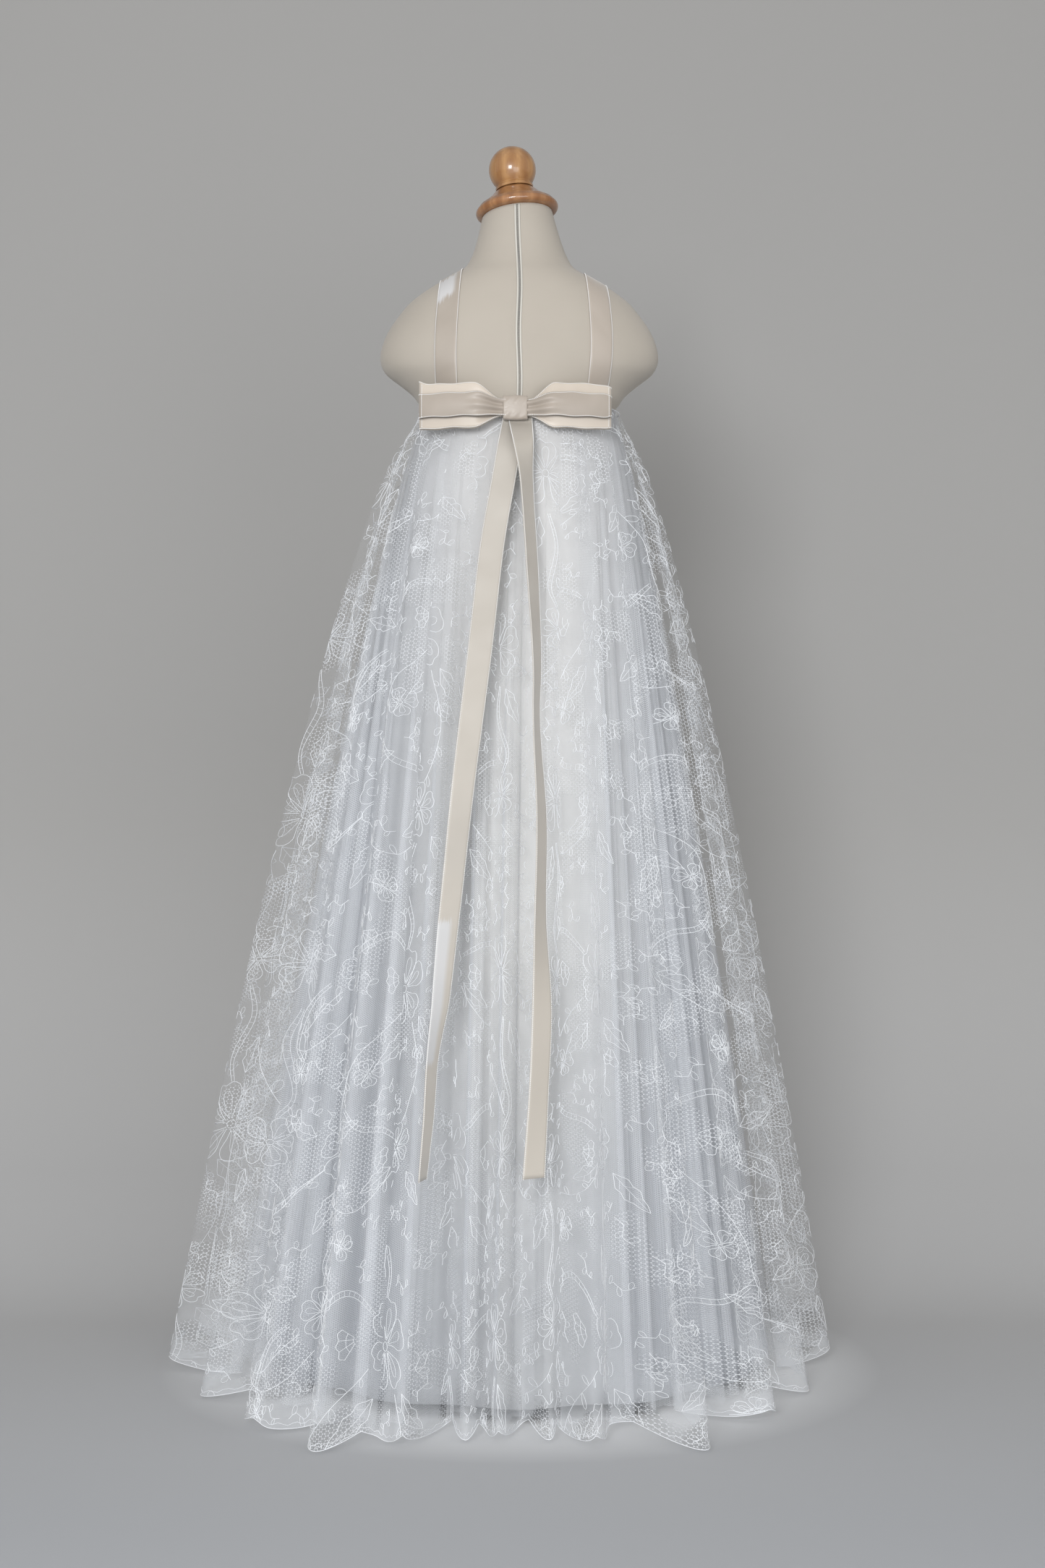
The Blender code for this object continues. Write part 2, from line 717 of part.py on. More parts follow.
def ribbon_reach(rows, x, height):
    """How far a ribbon that is already in place stands out to the back, or 0 beside it."""
    for upper, lower in zip(rows, rows[1:]):
        if lower[0].z <= height <= upper[0].z:
            part = (upper[0].z - height) / (upper[0].z - lower[0].z)
            row = [high.lerp(low, part) for high, low in zip(upper, lower)]
            for left, right in zip(row, row[1:]):
                if left.x <= x <= right.x:
                    return -left.lerp(right, (x - left.x) / (right.x - left.x)).y + RIBBON_WALL
    return 0


def tail(name, sections, layer, under):
    """A ribbon end that hangs from behind the knot and lies on the skirt's standing folds, and
    on the ribbon under it where they cross."""
    top = sections[-1].height
    bottom = sections[0].height
    steps = round((TAIL_UNDER_KNOT - bottom) / TAIL_STEP)
    heights = [top] + [TAIL_UNDER_KNOT + (bottom - TAIL_UNDER_KNOT) * n / steps for n in range(steps + 1)]
    start = layer * TAIL_LAYER - TAIL_TOP_BACK
    rows = []
    for height in heights:
        across = read_table(sections, "height", "across", height)
        turn = math.radians(read_table(sections, "height", "turn", height))
        half_x = RIBBON_WIDTH / 2 * math.cos(turn)
        half_y = RIBBON_WIDTH / 2 * math.sin(turn)
        rest = max(
            max(skirt_reach(across + half_x * part, z), ribbon_reach(under, across + half_x * part, z))
            + half_y * part
            for part in (-1, -0.7, -0.35, 0, 0.35, 0.7, 1)
            for z in (height - TAIL_STEP, height, height + TAIL_STEP)
        )
        freed = min(max((TAIL_UNDER_KNOT - height) / TAIL_STEP, 0), 1)
        stand_out = start + (max(rest + TAIL_CLEARANCE, start) - start) * freed
        middle = Vector((across, -stand_out, height))
        rows.append([middle + Vector((half_x * part, half_y * part, 0)) for part in (-1, 0, 1)])
    cloth_panel(name, rows, ribbon_cloth(), RIBBON_WALL, 1)
    return rows


def main():
    clear_scene()
    torso()
    cap()
    finial()
    stand()
    bodice_front()
    strap("strap_left", LEFT_STRAP)
    strap("strap_right", RIGHT_STRAP)
    skirt()
    bow()
    left = tail("tail_left", LEFT_TAIL, 0, [])
    tail("tail_right", RIGHT_TAIL, 1, left)


main()
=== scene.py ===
"""Looks of the flower girl dress and its dress form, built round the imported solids.

Metres, +Z up. The back of the dress faces -Y. A place is counted in skirt folds round the body, and
an angle in degrees from the middle of the back, positive towards +X.
"""

import math
import random

import bpy
import numpy as np
from mathutils import Matrix, Vector


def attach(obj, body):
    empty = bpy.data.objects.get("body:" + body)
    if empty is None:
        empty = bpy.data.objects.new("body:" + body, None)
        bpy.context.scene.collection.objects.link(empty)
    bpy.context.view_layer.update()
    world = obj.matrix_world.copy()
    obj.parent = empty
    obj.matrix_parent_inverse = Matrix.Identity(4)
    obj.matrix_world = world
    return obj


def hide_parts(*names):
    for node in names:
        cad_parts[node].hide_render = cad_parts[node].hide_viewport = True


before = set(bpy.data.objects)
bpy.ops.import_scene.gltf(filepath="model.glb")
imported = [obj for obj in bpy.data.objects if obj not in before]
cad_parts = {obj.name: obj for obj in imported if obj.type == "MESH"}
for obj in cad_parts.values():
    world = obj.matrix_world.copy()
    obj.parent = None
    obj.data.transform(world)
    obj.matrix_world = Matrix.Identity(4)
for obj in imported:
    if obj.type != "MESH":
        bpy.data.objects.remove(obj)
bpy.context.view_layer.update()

# Camera and room
CAMERA_PLACE = (0.0031, -2.22, 0.548)
CAMERA_LENS = 53.585
WALL_BACK = 0.75
COVE_RADIUS = 0.60
WALL_TOP = 6.0
ROOM_REACH = 9.0
LAMPS = (
    ("key", (-0.62, -3.25, 1.20), (0, 0, 0.50), 0.80, 60),
    ("fill", (1.0, -3.0, 0.40), (0, 0, 0.40), 1.6, 26),
)

# Ribbon and skirt sizes
RIBBON_WIDTH = 0.022
RIBBON_WALL = 0.0010
RIBBON_CLOTH = 0.0005
RIBBON_COLUMNS = 9
RIBBON_STEP = 0.004
LAYER_TOP = 0.9000
STRAP_FOOT = 0.9010
LACE_TOP_HALF_WIDTH = 0.0950
NET_TOP_HALF_WIDTH = 0.0930
LINING_TOP_HALF_WIDTH = 0.0913
CHEST_FLATNESS = 0.0132
SWING_TOP_AT_BACK = 0.885
SWING_TOP_AT_SIDES = 0.8985
FLARE_POWER = 0.72
FLARE_START = 0.016
INNER_FLARE = 1.15
HEM_HEIGHT = 0.003
SCALLOP_DEPTH = 0.009
SCALLOPS_PER_FOLD = 1.5
SKIRT_HEM_CENTRE_X = -0.012
NET_HEM_HEIGHT = 0.006
NET_FOLD_DEPTH = 0.12
NET_INSET_AT_HEM = 0.007
NET_CLEAR_OF_LINING = 0.0008
NET_EASE = 0.005
LINING_HEM_HEIGHT = 0.011
LINING_HEM_RADIUS = 0.213
LINING_SIDE_FULLNESS = 0.018
LINING_WAVES = 12
LINING_WAVE_DEPTH = 0.005
MOST_GATHER_DEPTH = 0.0014
GATHER_START = 0.022
GATHER_FADE = 0.075
GATHERS_PER_FOLD = 3
TAILS_SMOOTH_OVER = 2.2
SEAM_GAP = 0.0003
PANEL_GAP = 0.004
LINING_FOLD_CLOTH = 0.062
LINING_WALL = 0.0008
LINING_COLUMNS_PER_FOLD = 8
LINING_ROWS = 50

# The folds of the hem: crest angle, crest radius in mm, valley angle, valley radius
HEM_FOLDS = np.array((
    (-163, 300, -155.5, 262), (-148, 312, -140.5, 258), (-133, 302, -125.5, 262), (-118, 318, -110, 264),
    (-102, 314, -94, 262), (-84, 318, -74, 252), (-63, 303, -52, 270), (-41, 330, -33.5, 296),
    (-26, 350, -20.5, 300), (-15.5, 312, -11.5, 246), (-6.5, 285, -3.8, 258), (-1, 288, 3.2, 244),
    (7.5, 284, 10.3, 262), (14, 314, 20, 262), (28, 350, 36.5, 246), (46, 318, 55, 262), (66, 300, 79, 258),
    (92, 307, 104, 268), (120, 368, 130, 268), (140, 318, 148, 262), (156, 304, 163, 258),
    (171, 316, 178, 262), (186, 298, 191, 262),
), float)
FOLD_COUNT = len(HEM_FOLDS)
CENTRE_BACK_FOLD = 11
LEFT_SEAM = 4.5
RIGHT_SEAM = 16.5
PANELS = (("back", LEFT_SEAM, RIGHT_SEAM), ("front", RIGHT_SEAM, LEFT_SEAM + FOLD_COUNT))

# Dress form: height, half width, half depth and share of the neck's lean
TORSO = np.array((
    (0.600, 0.087, 0.069, 0), (0.606, 0.094, 0.076, 0), (0.650, 0.099, 0.082, 0), (0.720, 0.098, 0.081, 0),
    (0.800, 0.092, 0.074, 0), (0.860, 0.0868, 0.0725, 0), (0.901, 0.0890, 0.0745, 0),
    (0.904, 0.0911, 0.0747, 0), (0.908, 0.0946, 0.0748, 0), (0.917, 0.101, 0.0760, 0),
    (0.927, 0.113, 0.0764, 0), (0.938, 0.127, 0.0762, 0), (0.950, 0.132, 0.0755, 0),
    (0.964, 0.130, 0.0740, 0), (0.978, 0.124, 0.0710, 0), (0.991, 0.115, 0.0670, 0),
    (1.004, 0.104, 0.0620, 0), (1.016, 0.088, 0.0570, 0), (1.027, 0.069, 0.0515, 0),
    (1.036, 0.0535, 0.0460, 0), (1.047, 0.0460, 0.0415, 0.1), (1.060, 0.0410, 0.0380, 0.35),
    (1.074, 0.0370, 0.0355, 0.7), (1.0882, 0.0335, 0.0335, 1),
))
TORSO_SIDES = 96
TORSO_CLOTH_RADIUS = 0.09
ZIP_TOP = 1.0872
ZIP_WANDER = 0.0006
PIPING_ACROSS = 0.0018
PIPING_LIFT = 0.0005
PIPING_RADIUS = 0.00095
COIL_LIFT = 0.0002
CAP_CENTRE = Vector((-0.002, 0.0, 1.093))
CAP_ROLL = math.radians(-6.5)
CAP_PITCH = math.radians(-7.0)
CAP_RADIUS = 0.0393
CAP_RIM = 0.0042
CAP_RIM_HEIGHT = 0.0003
CAP_UNDERSIDE = -0.0045
CAP_UNDERSIDE_RADIUS = 0.0320
CAP_TOP = 0.0207
CAP_TOP_RADIUS = 0.0171
CAP_OGEE = ((0.0205, 0.0178), (0.0250, 0.0136), (0.0305, 0.0094), (0.0360, 0.0058))
COLLAR_RADIUS = 0.0180
BALL_RADIUS = 0.0224
BALL_HEIGHT = 0.0406
BALL_FOOT_RADIUS = 0.0166
BALL_NECK = ((0.0167, 0.0262), (0.0171, 0.0248), (COLLAR_RADIUS, 0.0234))

# Bow
BOW_CENTRE_X = -0.0035
BOW_HEIGHT = 0.8935
BOW_REACH = 0.088
BOW_WRAP = 0.018
BACK_LOOP_WIDTH = 0.041
KNOT_SIZE = 0.0224
KNOT_HEIGHT = 0.891
KNOT_BACK = -0.0886
KNOT_DEPTH = 0.0086
KNOT_ROWS = 16
KNOT_SIDES = 48
KNOT_BULGE = 0.0006
KNOT_SQUARENESS = 0.45
KNOT_WALL = 0.0006
KNOT_CLOTH = 0.062
KNOT_CREASE = 0.0003
LAYER_PITCH = 0.0014
LOOP_OPENING = 0.0045
LOOP_NECK = 0.0150
LOOP_NECK_END = 0.0115
LOOP_OPENS_OVER = 0.026
LOOP_MIDDLE = 9
LOOP_START = 0.003
LOOP_POINTS = 44
LOOP_END_STEPS = 8
LOOP_CROWN = 0.0014
LOOP_FRILL = 0.00045
LOOP_TIP = 0.88
RIGHT_TIP_NARROWING = 0.0012
LEFT_TIP_FLICK = 0.0030
PLEAT_DEPTH = 0.0017
PLEAT_PLACE = 0.021
PLEAT_REACH = 0.014

# Tails: height, distance across and turn in degrees
LEFT_TAIL = np.array((
    (0.2160, -0.0805, 74), (0.2680, -0.0760, 68), (0.3190, -0.0730, 64), (0.3550, -0.0676, 50),
    (0.4140, -0.0621, 38), (0.5380, -0.0494, 26), (0.6655, -0.0345, 9), (0.7640, -0.0236, 0),
    (0.8230, -0.0137, 0), (0.8560, -0.0085, 0), (0.8788, -0.0050, 0), (0.8840, -0.0045, 0),
))
RIGHT_TAIL = np.array((
    (0.2160, 0.0126, 30), (0.2890, 0.0171, 40), (0.3550, 0.0198, 40), (0.4320, 0.0184, 62),
    (0.5160, 0.0196, 66), (0.6045, 0.0152, 74), (0.6550, 0.0159, 70), (0.7330, 0.0122, 62),
    (0.8250, 0.0065, 56), (0.8550, 0.0040, 32), (0.8788, 0.0015, 0), (0.8840, 0.0010, 0),
))
TAIL_STEP = 0.024
TAIL_CLEARANCE = 0.0022
TAIL_TOP_BACK = -0.0851
TAIL_LAYER = 0.0018
TAIL_UNDER_KNOT = 0.8788
# Painted highlight on the left tail where it twists
LEFT_TAIL_SHEEN = (0.490, 0.620, 0.016)
PICOT_INSET = 0.0006
PICOT_LIFT = 0.00035

# Straps: climb in degrees and distance across. The bodice hangs from them.
LEFT_STRAP = np.array(((-60, -0.0665), (0, -0.0680), (90, -0.0635), (180, -0.0670), (240, -0.0670)))
RIGHT_STRAP = np.array(((-60, 0.0700), (0, 0.0765), (90, 0.0710), (180, 0.0690), (240, 0.0680)))
STRAP_HALF_ACROSS = 0.0105
STRAP_SEAM = 0.0006
STRAP_LIFT = 0.0007
STRAP_ROWS = 56
# Painted highlight at the top of the left strap
LEFT_STRAP_SHEEN = (0.114, 0.152, 0.022)
SHOULDER_CORE = 0.955
BODICE_TOP = 0.985
BODICE_NECK_DIP = 0.020
BODICE_ROWS = 24
BODICE_COLUMNS = 48
BODICE_WALL = 0.0009
BODICE_CLOTH_WIDTH = 0.19
BODICE_CLOTH_DEPTH = 0.077
BODICE_NECK_HALF_WIDTH = 0.056
BODICE_TOP_HALF_WIDTH = 0.0800
BODICE_WAIST_ANGLE = 66
BODICE_CLEAR_OF_FORM = 0.00205

# Lace cloth, flat, and the cords on it
FOLD_CLOTH = 0.120
CLOTH_STRETCH = 1.03
TILE_WIDTH = 0.276
TILE_LENGTH = 0.310
CORD_RADIUS = 0.00026
CORD_STEP = 0.0053
CORD_LIFT = 0.6
CORD_INSET = 0.01
CORD_MARGIN = 0.0004
LONGEST_STEP = 0.4
TWISTS = 900
HEM_CORD_LIFT = 0.0003
INNER_CORD_LIFT = 0.0042
INNER_CORD_WAVE = 0.0012
TOP_CORD_DROP = 0.0008
HEM_POINTS_PER_FOLD = 34
LACE_DRAWN_LENGTH = 0.93
LACE_COLUMNS_PER_FOLD = 22
LACE_ROWS = 61
LACE_ROW_POWER = 0.9

# Fine folds that the cloth adds to the big ones: waves round the skirt, depth, lean down the skirt
LACE_RIPPLES = ((61, 0.0012, 2.0), (97, 0.0006, -3.0), (38, 0.0026, 1.2))
NET_WAVES = 34
NET_REACH = 89
NET_COLUMNS_PER_FOLD = 26 * NET_WAVES / FOLD_COUNT
NET_ROWS = 44
NET_WAVE_RADIUS = 0.255
NET_UNEVENNESS = 0.42

# Satins: use, name, two colours, how much painted light makes them lighter lower down, and a painted
# highlight's start, end and width along and across the ribbon
SATINS = (
    ("bow_narrow", "bow_satin", (0.375, 0.325, 0.275), (0.440, 0.385, 0.332)),
    ("bow_wide", "wide_bow_satin", (0.59, 0.520, 0.440), (0.66, 0.585, 0.505)),
    ("tail", "tail_satin", (0.475, 0.436, 0.382), (0.525, 0.486, 0.430), 1.10),
    ("tail_left", "left_tail_satin", (0.485, 0.450, 0.400), (0.535, 0.500, 0.450), 1.15, LEFT_TAIL_SHEEN),
    ("strap", "strap_satin", (0.44, 0.385, 0.330), (0.49, 0.432, 0.375)),
    ("strap_left", "left_strap_satin", (0.40, 0.350, 0.30), (0.45, 0.40, 0.345), 1.0, LEFT_STRAP_SHEEN),
)


# Curves, and the shapes of the skirt's layers


def unit(vectors):
    return vectors / np.maximum(np.linalg.norm(vectors, axis=-1, keepdims=True), 1e-9)


def lengths_along(points):
    """How far along a line each of its points lies."""
    return np.concatenate(((0,), np.cumsum(np.linalg.norm(np.diff(points, axis=0), axis=1))))


def smooth_table(keys, values, at):
    """Values at places between a table's rows, on a smooth curve through them."""
    keys = np.asarray(keys, float)
    values = np.asarray(values, float)
    order = np.arange(len(keys))
    before = np.maximum(order - 1, 0)
    after = np.minimum(order + 1, len(keys) - 1)
    slopes = (values[after] - values[before]) / (keys[after] - keys[before])
    at = np.clip(np.asarray(at, float), keys[0], keys[-1])
    row = np.clip(np.searchsorted(keys, at, side="right") - 1, 0, len(keys) - 2)
    span = keys[row + 1] - keys[row]
    f = (at - keys[row]) / span
    start = values[row] * (2 * f**3 - 3 * f**2 + 1) + slopes[row] * span * (f**3 - 2 * f**2 + f)
    end = values[row + 1] * (3 * f**2 - 2 * f**3) + slopes[row + 1] * span * (f**3 - f**2)
    return start + end


def smooth_rows(keys, rows, at):
    """As smooth_table, for a table whose every row holds more than one number."""
    flat = rows.reshape(len(rows), -1)
    made = np.stack([smooth_table(keys, flat[:, n], at) for n in range(flat.shape[1])], -1)
    return made.reshape(len(at), *rows.shape[1:])


def torso_size(height):
    """The form's half width, half depth and share of the neck's lean at a height."""
    half_width, half_depth, share = (float(smooth_table(TORSO[:, 0], TORSO[:, k], height)) for k in (1, 2, 3))
    return half_width, half_depth, min(max(share, 0), 1)


def flare(height, hem, angle):
    side = np.sin(np.radians(angle)) ** 2
    top = SWING_TOP_AT_BACK + (SWING_TOP_AT_SIDES - SWING_TOP_AT_BACK) * side
    drop = np.maximum((top - height) / (top - hem), 0)
    return drop**FLARE_POWER * (1 - np.exp(-drop / FLARE_START))


def waist_plan(angle, half_width):
    turn = np.radians(angle)
    return np.stack((half_width * np.sin(turn), -(half_width - CHEST_FLATNESS) * np.cos(turn)), -1)


def top_angle(place):
    return (place - CENTRE_BACK_FOLD) * 360 / FOLD_COUNT


def hem_plan(place, depth, inset):
    whole = np.floor(place).astype(int)
    part = place - whole
    fold = HEM_FOLDS[whole % FOLD_COUNT]
    after = HEM_FOLDS[(whole + 1) % FOLD_COUNT]
    rising = part >= 0.5
    start = np.where(rising, fold[..., 2], fold[..., 0])
    end = np.where(rising, after[..., 0], fold[..., 2])
    end = np.where(end < start, end + 360, end)
    share = np.where(rising, part * 2 - 1, part * 2)
    crest = np.where(rising, after[..., 1], fold[..., 1])
    stands_out = np.where(rising, 1 - np.cos(np.pi * share), 1 + np.cos(np.pi * share)) / 2
    turn = np.radians(start + (end - start) * share)
    radius = (fold[..., 3] + (crest - fold[..., 3]) * depth * stands_out) / 1000 - inset
    return np.stack((SKIRT_HEM_CENTRE_X + radius * np.sin(turn), -radius * np.cos(turn)), -1)


HALF_FOLDS = range(-2 * FOLD_COUNT, 4 * FOLD_COUNT + 1)
HEM_PLACES = np.array(HALF_FOLDS) / 2
HEM_TURNS = np.array(
    [HEM_FOLDS[n // 2 % FOLD_COUNT, n % 2 * 2] + 360 * (n // 2 // FOLD_COUNT) for n in HALF_FOLDS]
)


def stand_out(plan, distance):
    """Moves plan points outwards, away from the middle."""
    return plan + unit(plan) * distance[..., None]


def lace_hem_height(place):
    return HEM_HEIGHT + SCALLOP_DEPTH * (1 - np.abs(np.cos(np.pi * SCALLOPS_PER_FOLD * place)))


def lace_surface(place, height):
    """The lace: the solid's folds, with gathers at the waist and fine ripples lower down."""
    place, height = np.broadcast_arrays(np.asarray(place, float), np.asarray(height, float))
    top = waist_plan(top_angle(place), LACE_TOP_HALF_WIDTH)
    hem = hem_plan(place, 1.0, 0.0)
    swing = flare(height, HEM_HEIGHT, top_angle(place))
    plan = top + (hem - top) * swing[..., None]
    below = np.maximum(SWING_TOP_AT_BACK - height, 0)
    gather = MOST_GATHER_DEPTH * np.minimum(below / GATHER_START, 1) * np.exp(-((below / GATHER_FADE) ** 2))
    lift = gather * np.cos(2 * np.pi * GATHERS_PER_FOLD * place)
    beside_tails = 1 - 0.85 * np.exp(-(((place - CENTRE_BACK_FOLD) / TAILS_SMOOTH_OVER) ** 2))
    for waves, depth, lean in LACE_RIPPLES:
        phase = 2 * np.pi * waves * place / FOLD_COUNT + lean * swing + waves
        lift = lift + depth * np.sin(phase) * np.minimum(swing * 1.6, 1) * beside_tails
    plan = stand_out(plan, lift)
    return np.concatenate((plan, height[..., None]), -1)


def meander(turns, reach):
    """A gathered edge seen from above, as places along it and how far it swings, for one wave."""
    steps = 400
    s = (np.arange(steps) + 0.5) / steps
    heading = np.radians(reach) * np.sin(2 * np.pi * s)
    along = np.concatenate(((0,), np.cumsum(np.cos(heading)))) / steps
    swing = np.concatenate(((0,), np.cumsum(np.sin(heading)))) / steps
    scale = along[-1]
    at = np.mod(turns, 1)
    key = np.linspace(0, 1, steps + 1)
    return np.floor(turns) + np.interp(at, key, along / scale), np.interp(at, key, swing / scale)


def net_surface(place, height):
    """The net: the solid's folds, with finer gathers that lap over each other."""
    place, height = np.broadcast_arrays(np.asarray(place, float), np.asarray(height, float))
    swing = flare(height, HEM_HEIGHT, top_angle(place)) ** INNER_FLARE
    hem_turn = np.interp(place, HEM_PLACES, HEM_TURNS)
    round_skirt = np.radians(hem_turn)
    uneven = np.sin(5 * round_skirt + 2) + 0.6 * np.sin(8 * round_skirt + 1) + 0.4 * np.sin(13 * round_skirt)
    turns = hem_turn * NET_WAVES / 360 + NET_UNEVENNESS * uneven
    along, out = meander(turns, NET_REACH)
    laps = np.minimum(swing * 2.2, 1)
    moved = np.interp(hem_turn + (along - turns) * 360 / NET_WAVES * laps, HEM_TURNS, HEM_PLACES)
    top = waist_plan(top_angle(moved), NET_TOP_HALF_WIDTH)
    hem = hem_plan(moved, NET_FOLD_DEPTH, NET_INSET_AT_HEM)
    plan = top + (hem - top) * swing[..., None]
    depth = 2 * np.pi * NET_WAVE_RADIUS / NET_WAVES * laps * swing
    plan = stand_out(plan, (out - np.max(out)) * depth)
    return np.concatenate((outside_lining(plan, height), height[..., None]), -1)


def lining_reach(turn):
    """How far the lining's hem reaches at a turn in radians."""
    radius = LINING_HEM_RADIUS + LINING_SIDE_FULLNESS * np.sin(turn) ** 2
    return radius + LINING_WAVE_DEPTH * np.cos(LINING_WAVES * turn)


def outside_lining(plan, height):
    """Keeps the net's plan points outside the lining, the nearer to it the deeper they would lie."""
    turn = np.arctan2(plan[..., 0], -plan[..., 1])
    swing = flare(height, LINING_HEM_HEIGHT, np.degrees(turn)) ** INNER_FLARE
    wound = turn
    for _ in range(2):
        across = LINING_TOP_HALF_WIDTH + (lining_reach(wound) - LINING_TOP_HALF_WIDTH) * swing
        deep = across - CHEST_FLATNESS * (1 - swing)
        wound = np.arctan2(np.sin(turn) * deep, np.cos(turn) * across)
    reach = np.hypot(across * np.sin(wound), deep * np.cos(wound))
    gap = np.linalg.norm(plan, axis=-1) - reach - NET_CLEAR_OF_LINING
    ease = NET_EASE * np.clip(swing * 3, 0.06, 1)
    eased = ease * np.exp(np.minimum(gap - ease, 0) / ease)
    return stand_out(plan, np.where(gap < ease, eased - gap, 0))


def lining_surface(place, height):
    place, height = np.broadcast_arrays(np.asarray(place, float), np.asarray(height, float))
    angle = top_angle(place)
    turn = np.radians(angle)
    radius = lining_reach(turn)
    hem = np.stack((radius * np.sin(turn), -radius * np.cos(turn)), -1)
    top = waist_plan(angle, LINING_TOP_HALF_WIDTH)
    swing = flare(height, LINING_HEM_HEIGHT, angle) ** INNER_FLARE
    plan = top + (hem - top) * swing[..., None]
    return np.concatenate((plan, height[..., None]), -1)


# Making meshes


def linked(name, mesh):
    piece = bpy.data.objects.new(name, mesh)
    bpy.context.scene.collection.objects.link(piece)
    return piece


def mesh_piece(name, points, faces, look, uv=None):
    """A piece from points, faces of indices and, if given, each point's place on the flat cloth."""
    mesh = bpy.data.meshes.new(name)
    mesh.from_pydata([tuple(p) for p in points], [], [tuple(int(i) for i in f) for f in faces])
    if uv is not None:
        layer = mesh.uv_layers.new(name="cloth")
        loops = np.empty(len(mesh.loops), np.int32)
        mesh.loops.foreach_get("vertex_index", loops)
        layer.uv.foreach_set("vector", np.asarray(uv, np.float32)[loops].ravel())
    mesh.materials.append(look)
    mesh.shade_smooth()
    return linked(name, mesh)


def grid_faces(rows, columns, wraps=False):
    row, column = np.meshgrid(np.arange(rows - 1), np.arange(columns if wraps else columns - 1), indexing="ij")
    here, below = row * columns, (row + 1) * columns
    beside = (column + 1) % columns
    return np.stack((here + column, below + column, below + beside, here + beside), -1).reshape(-1, 4).tolist()


def cloth_piece(name, grid, look, uv=None, wraps=False):
    """A single sheet through a grid of points. The rows run downwards, each from left to right as
    seen from outside."""
    flat_uv = None if uv is None else uv.reshape(-1, 2)
    return mesh_piece(name, grid.reshape(-1, 3), grid_faces(*grid.shape[:2], wraps), look, flat_uv)


def give_wall(piece, thickness, offset=0):
    wall = piece.modifiers.new("wall", "SOLIDIFY")
    wall.thickness = thickness
    wall.offset = offset
    wall.use_even_offset = True
    return piece


def settle(piece):
    """Turns a piece's modifiers into plain mesh."""
    settled = bpy.data.meshes.new_from_object(piece.evaluated_get(bpy.context.evaluated_depsgraph_get()))
    piece.modifiers.clear()
    old = piece.data
    piece.data = settled
    settled.name = piece.name
    bpy.data.meshes.remove(old)


def stands_for(piece, node):
    """Hides the solid that a piece takes the place of."""
    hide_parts(node)
    return piece


# Materials


class Finish:
    """A material and the nodes that it is made of."""

    def __init__(self, name):
        self.material = bpy.data.materials.new(name)
        self.material.use_nodes = True
        self.tree = self.material.node_tree
        self.shader = self.tree.nodes["Principled BSDF"]

    def feed(self, socket, value):
        if isinstance(value, bpy.types.NodeSocket):
            self.tree.links.new(value, socket)
        else:
            socket.default_value = (*value, 1.0) if socket.type == "RGBA" else value

    def node(self, kind, inputs=(), out=0, **settings):
        """Makes a node with its settings and inputs, and gives back one of its outputs."""
        made = self.tree.nodes.new("ShaderNode" + kind)
        for key, value in settings.items():
            setattr(made, key, value)
        for key, value in dict(inputs).items():
            self.feed(made.inputs[key], value)
        return made.outputs[out]

    def set(self, **values):
        for key, value in values.items():
            self.feed(self.shader.inputs[key.replace("_", " ")], value)
        return self.material

    def show(self, shader):
        self.feed(self.tree.nodes["Material Output"].inputs["Surface"], shader)

    def math(self, operation, a, b=0.0):
        return self.node("Math", {0: a, 1: b}, operation=operation)

    def ramp(self, value, low, high, out_low=0.0, out_high=1.0):
        """Takes low to high as out_low to out_high, and no further."""
        inputs = {"Value": value, "From Min": low, "From Max": high, "To Min": out_low, "To Max": out_high}
        return self.node("MapRange", inputs, "Result")

    def blend(self, share, a, b):
        return self.node("Mix", {0: share, 6: a, 7: b}, 2, data_type="RGBA")

    def part(self, vector, axis):
        return self.node("SeparateXYZ", {0: vector}, axis)

    def cloth(self, across=1, down=1):
        """The place on the flat cloth, stretched."""
        uv = self.node("UVMap", uv_map="cloth")
        return self.node("Mapping", {"Vector": uv, "Scale": (across, down, 1)})

    def down(self):
        return self.part(self.cloth(), "Y")

    def place(self, x=1, y=1, z=1, turn=(0, 0, 0)):
        where = self.node("TexCoord", out="Object")
        return self.node("Mapping", {"Vector": where, "Scale": (x, y, z), "Rotation": turn})

    def noise(self, vector, detail=2.0, scale=1.0, rough=0.5):
        inputs = {"Vector": vector, "Scale": scale, "Detail": detail, "Roughness": rough}
        return self.node("TexNoise", inputs, "Fac")

    def bands(self, vector, direction, distortion=0.0):
        inputs = {"Vector": vector, "Scale": 1.0, "Distortion": distortion, "Detail": 1.0}
        return self.node("TexWave", inputs, "Fac", bands_direction=direction)

    def weave(self, pace, distortion=0.0):
        warp, weft = (self.bands(self.cloth(pace, pace), way, distortion) for way in "XY")
        return self.math("MULTIPLY", warp, weft)

    def honeycomb(self, cell):
        """Closeness to the threads of a honeycomb net on the flat cloth, from three sets of waves."""
        flat = self.cloth()
        pace = 4 * math.pi / (cell * math.sqrt(3))
        waves = []
        for turn in map(math.radians, (0, 60, 120)):
            across = (pace * math.cos(turn), pace * math.sin(turn), 0)
            phase = self.node("VectorMath", {0: flat, 1: across}, "Value", operation="DOT_PRODUCT")
            waves.append(self.math("COSINE", phase))
        total = self.math("ADD", self.math("ADD", waves[0], waves[1]), waves[2])
        return self.ramp(total, -0.90, -1.20)

    def sheer(self, colour, cover, through):
        """Thin cloth: a share of its light comes through from behind, and it covers only in part."""
        glow = self.node("BsdfTranslucent", {"Color": colour})
        cloth = self.node("MixShader", {0: through, 1: self.shader.outputs[0], 2: glow})
        self.show(self.node("MixShader", {0: cover, 1: self.node("BsdfTransparent"), 2: cloth}))
        return self.set(Base_Color=colour, Roughness=0.9, Specular_IOR_Level=0.15)

    def bump(self, height, strength, distance):
        self.set(Normal=self.node("Bump", {"Height": height, "Strength": strength, "Distance": distance}))


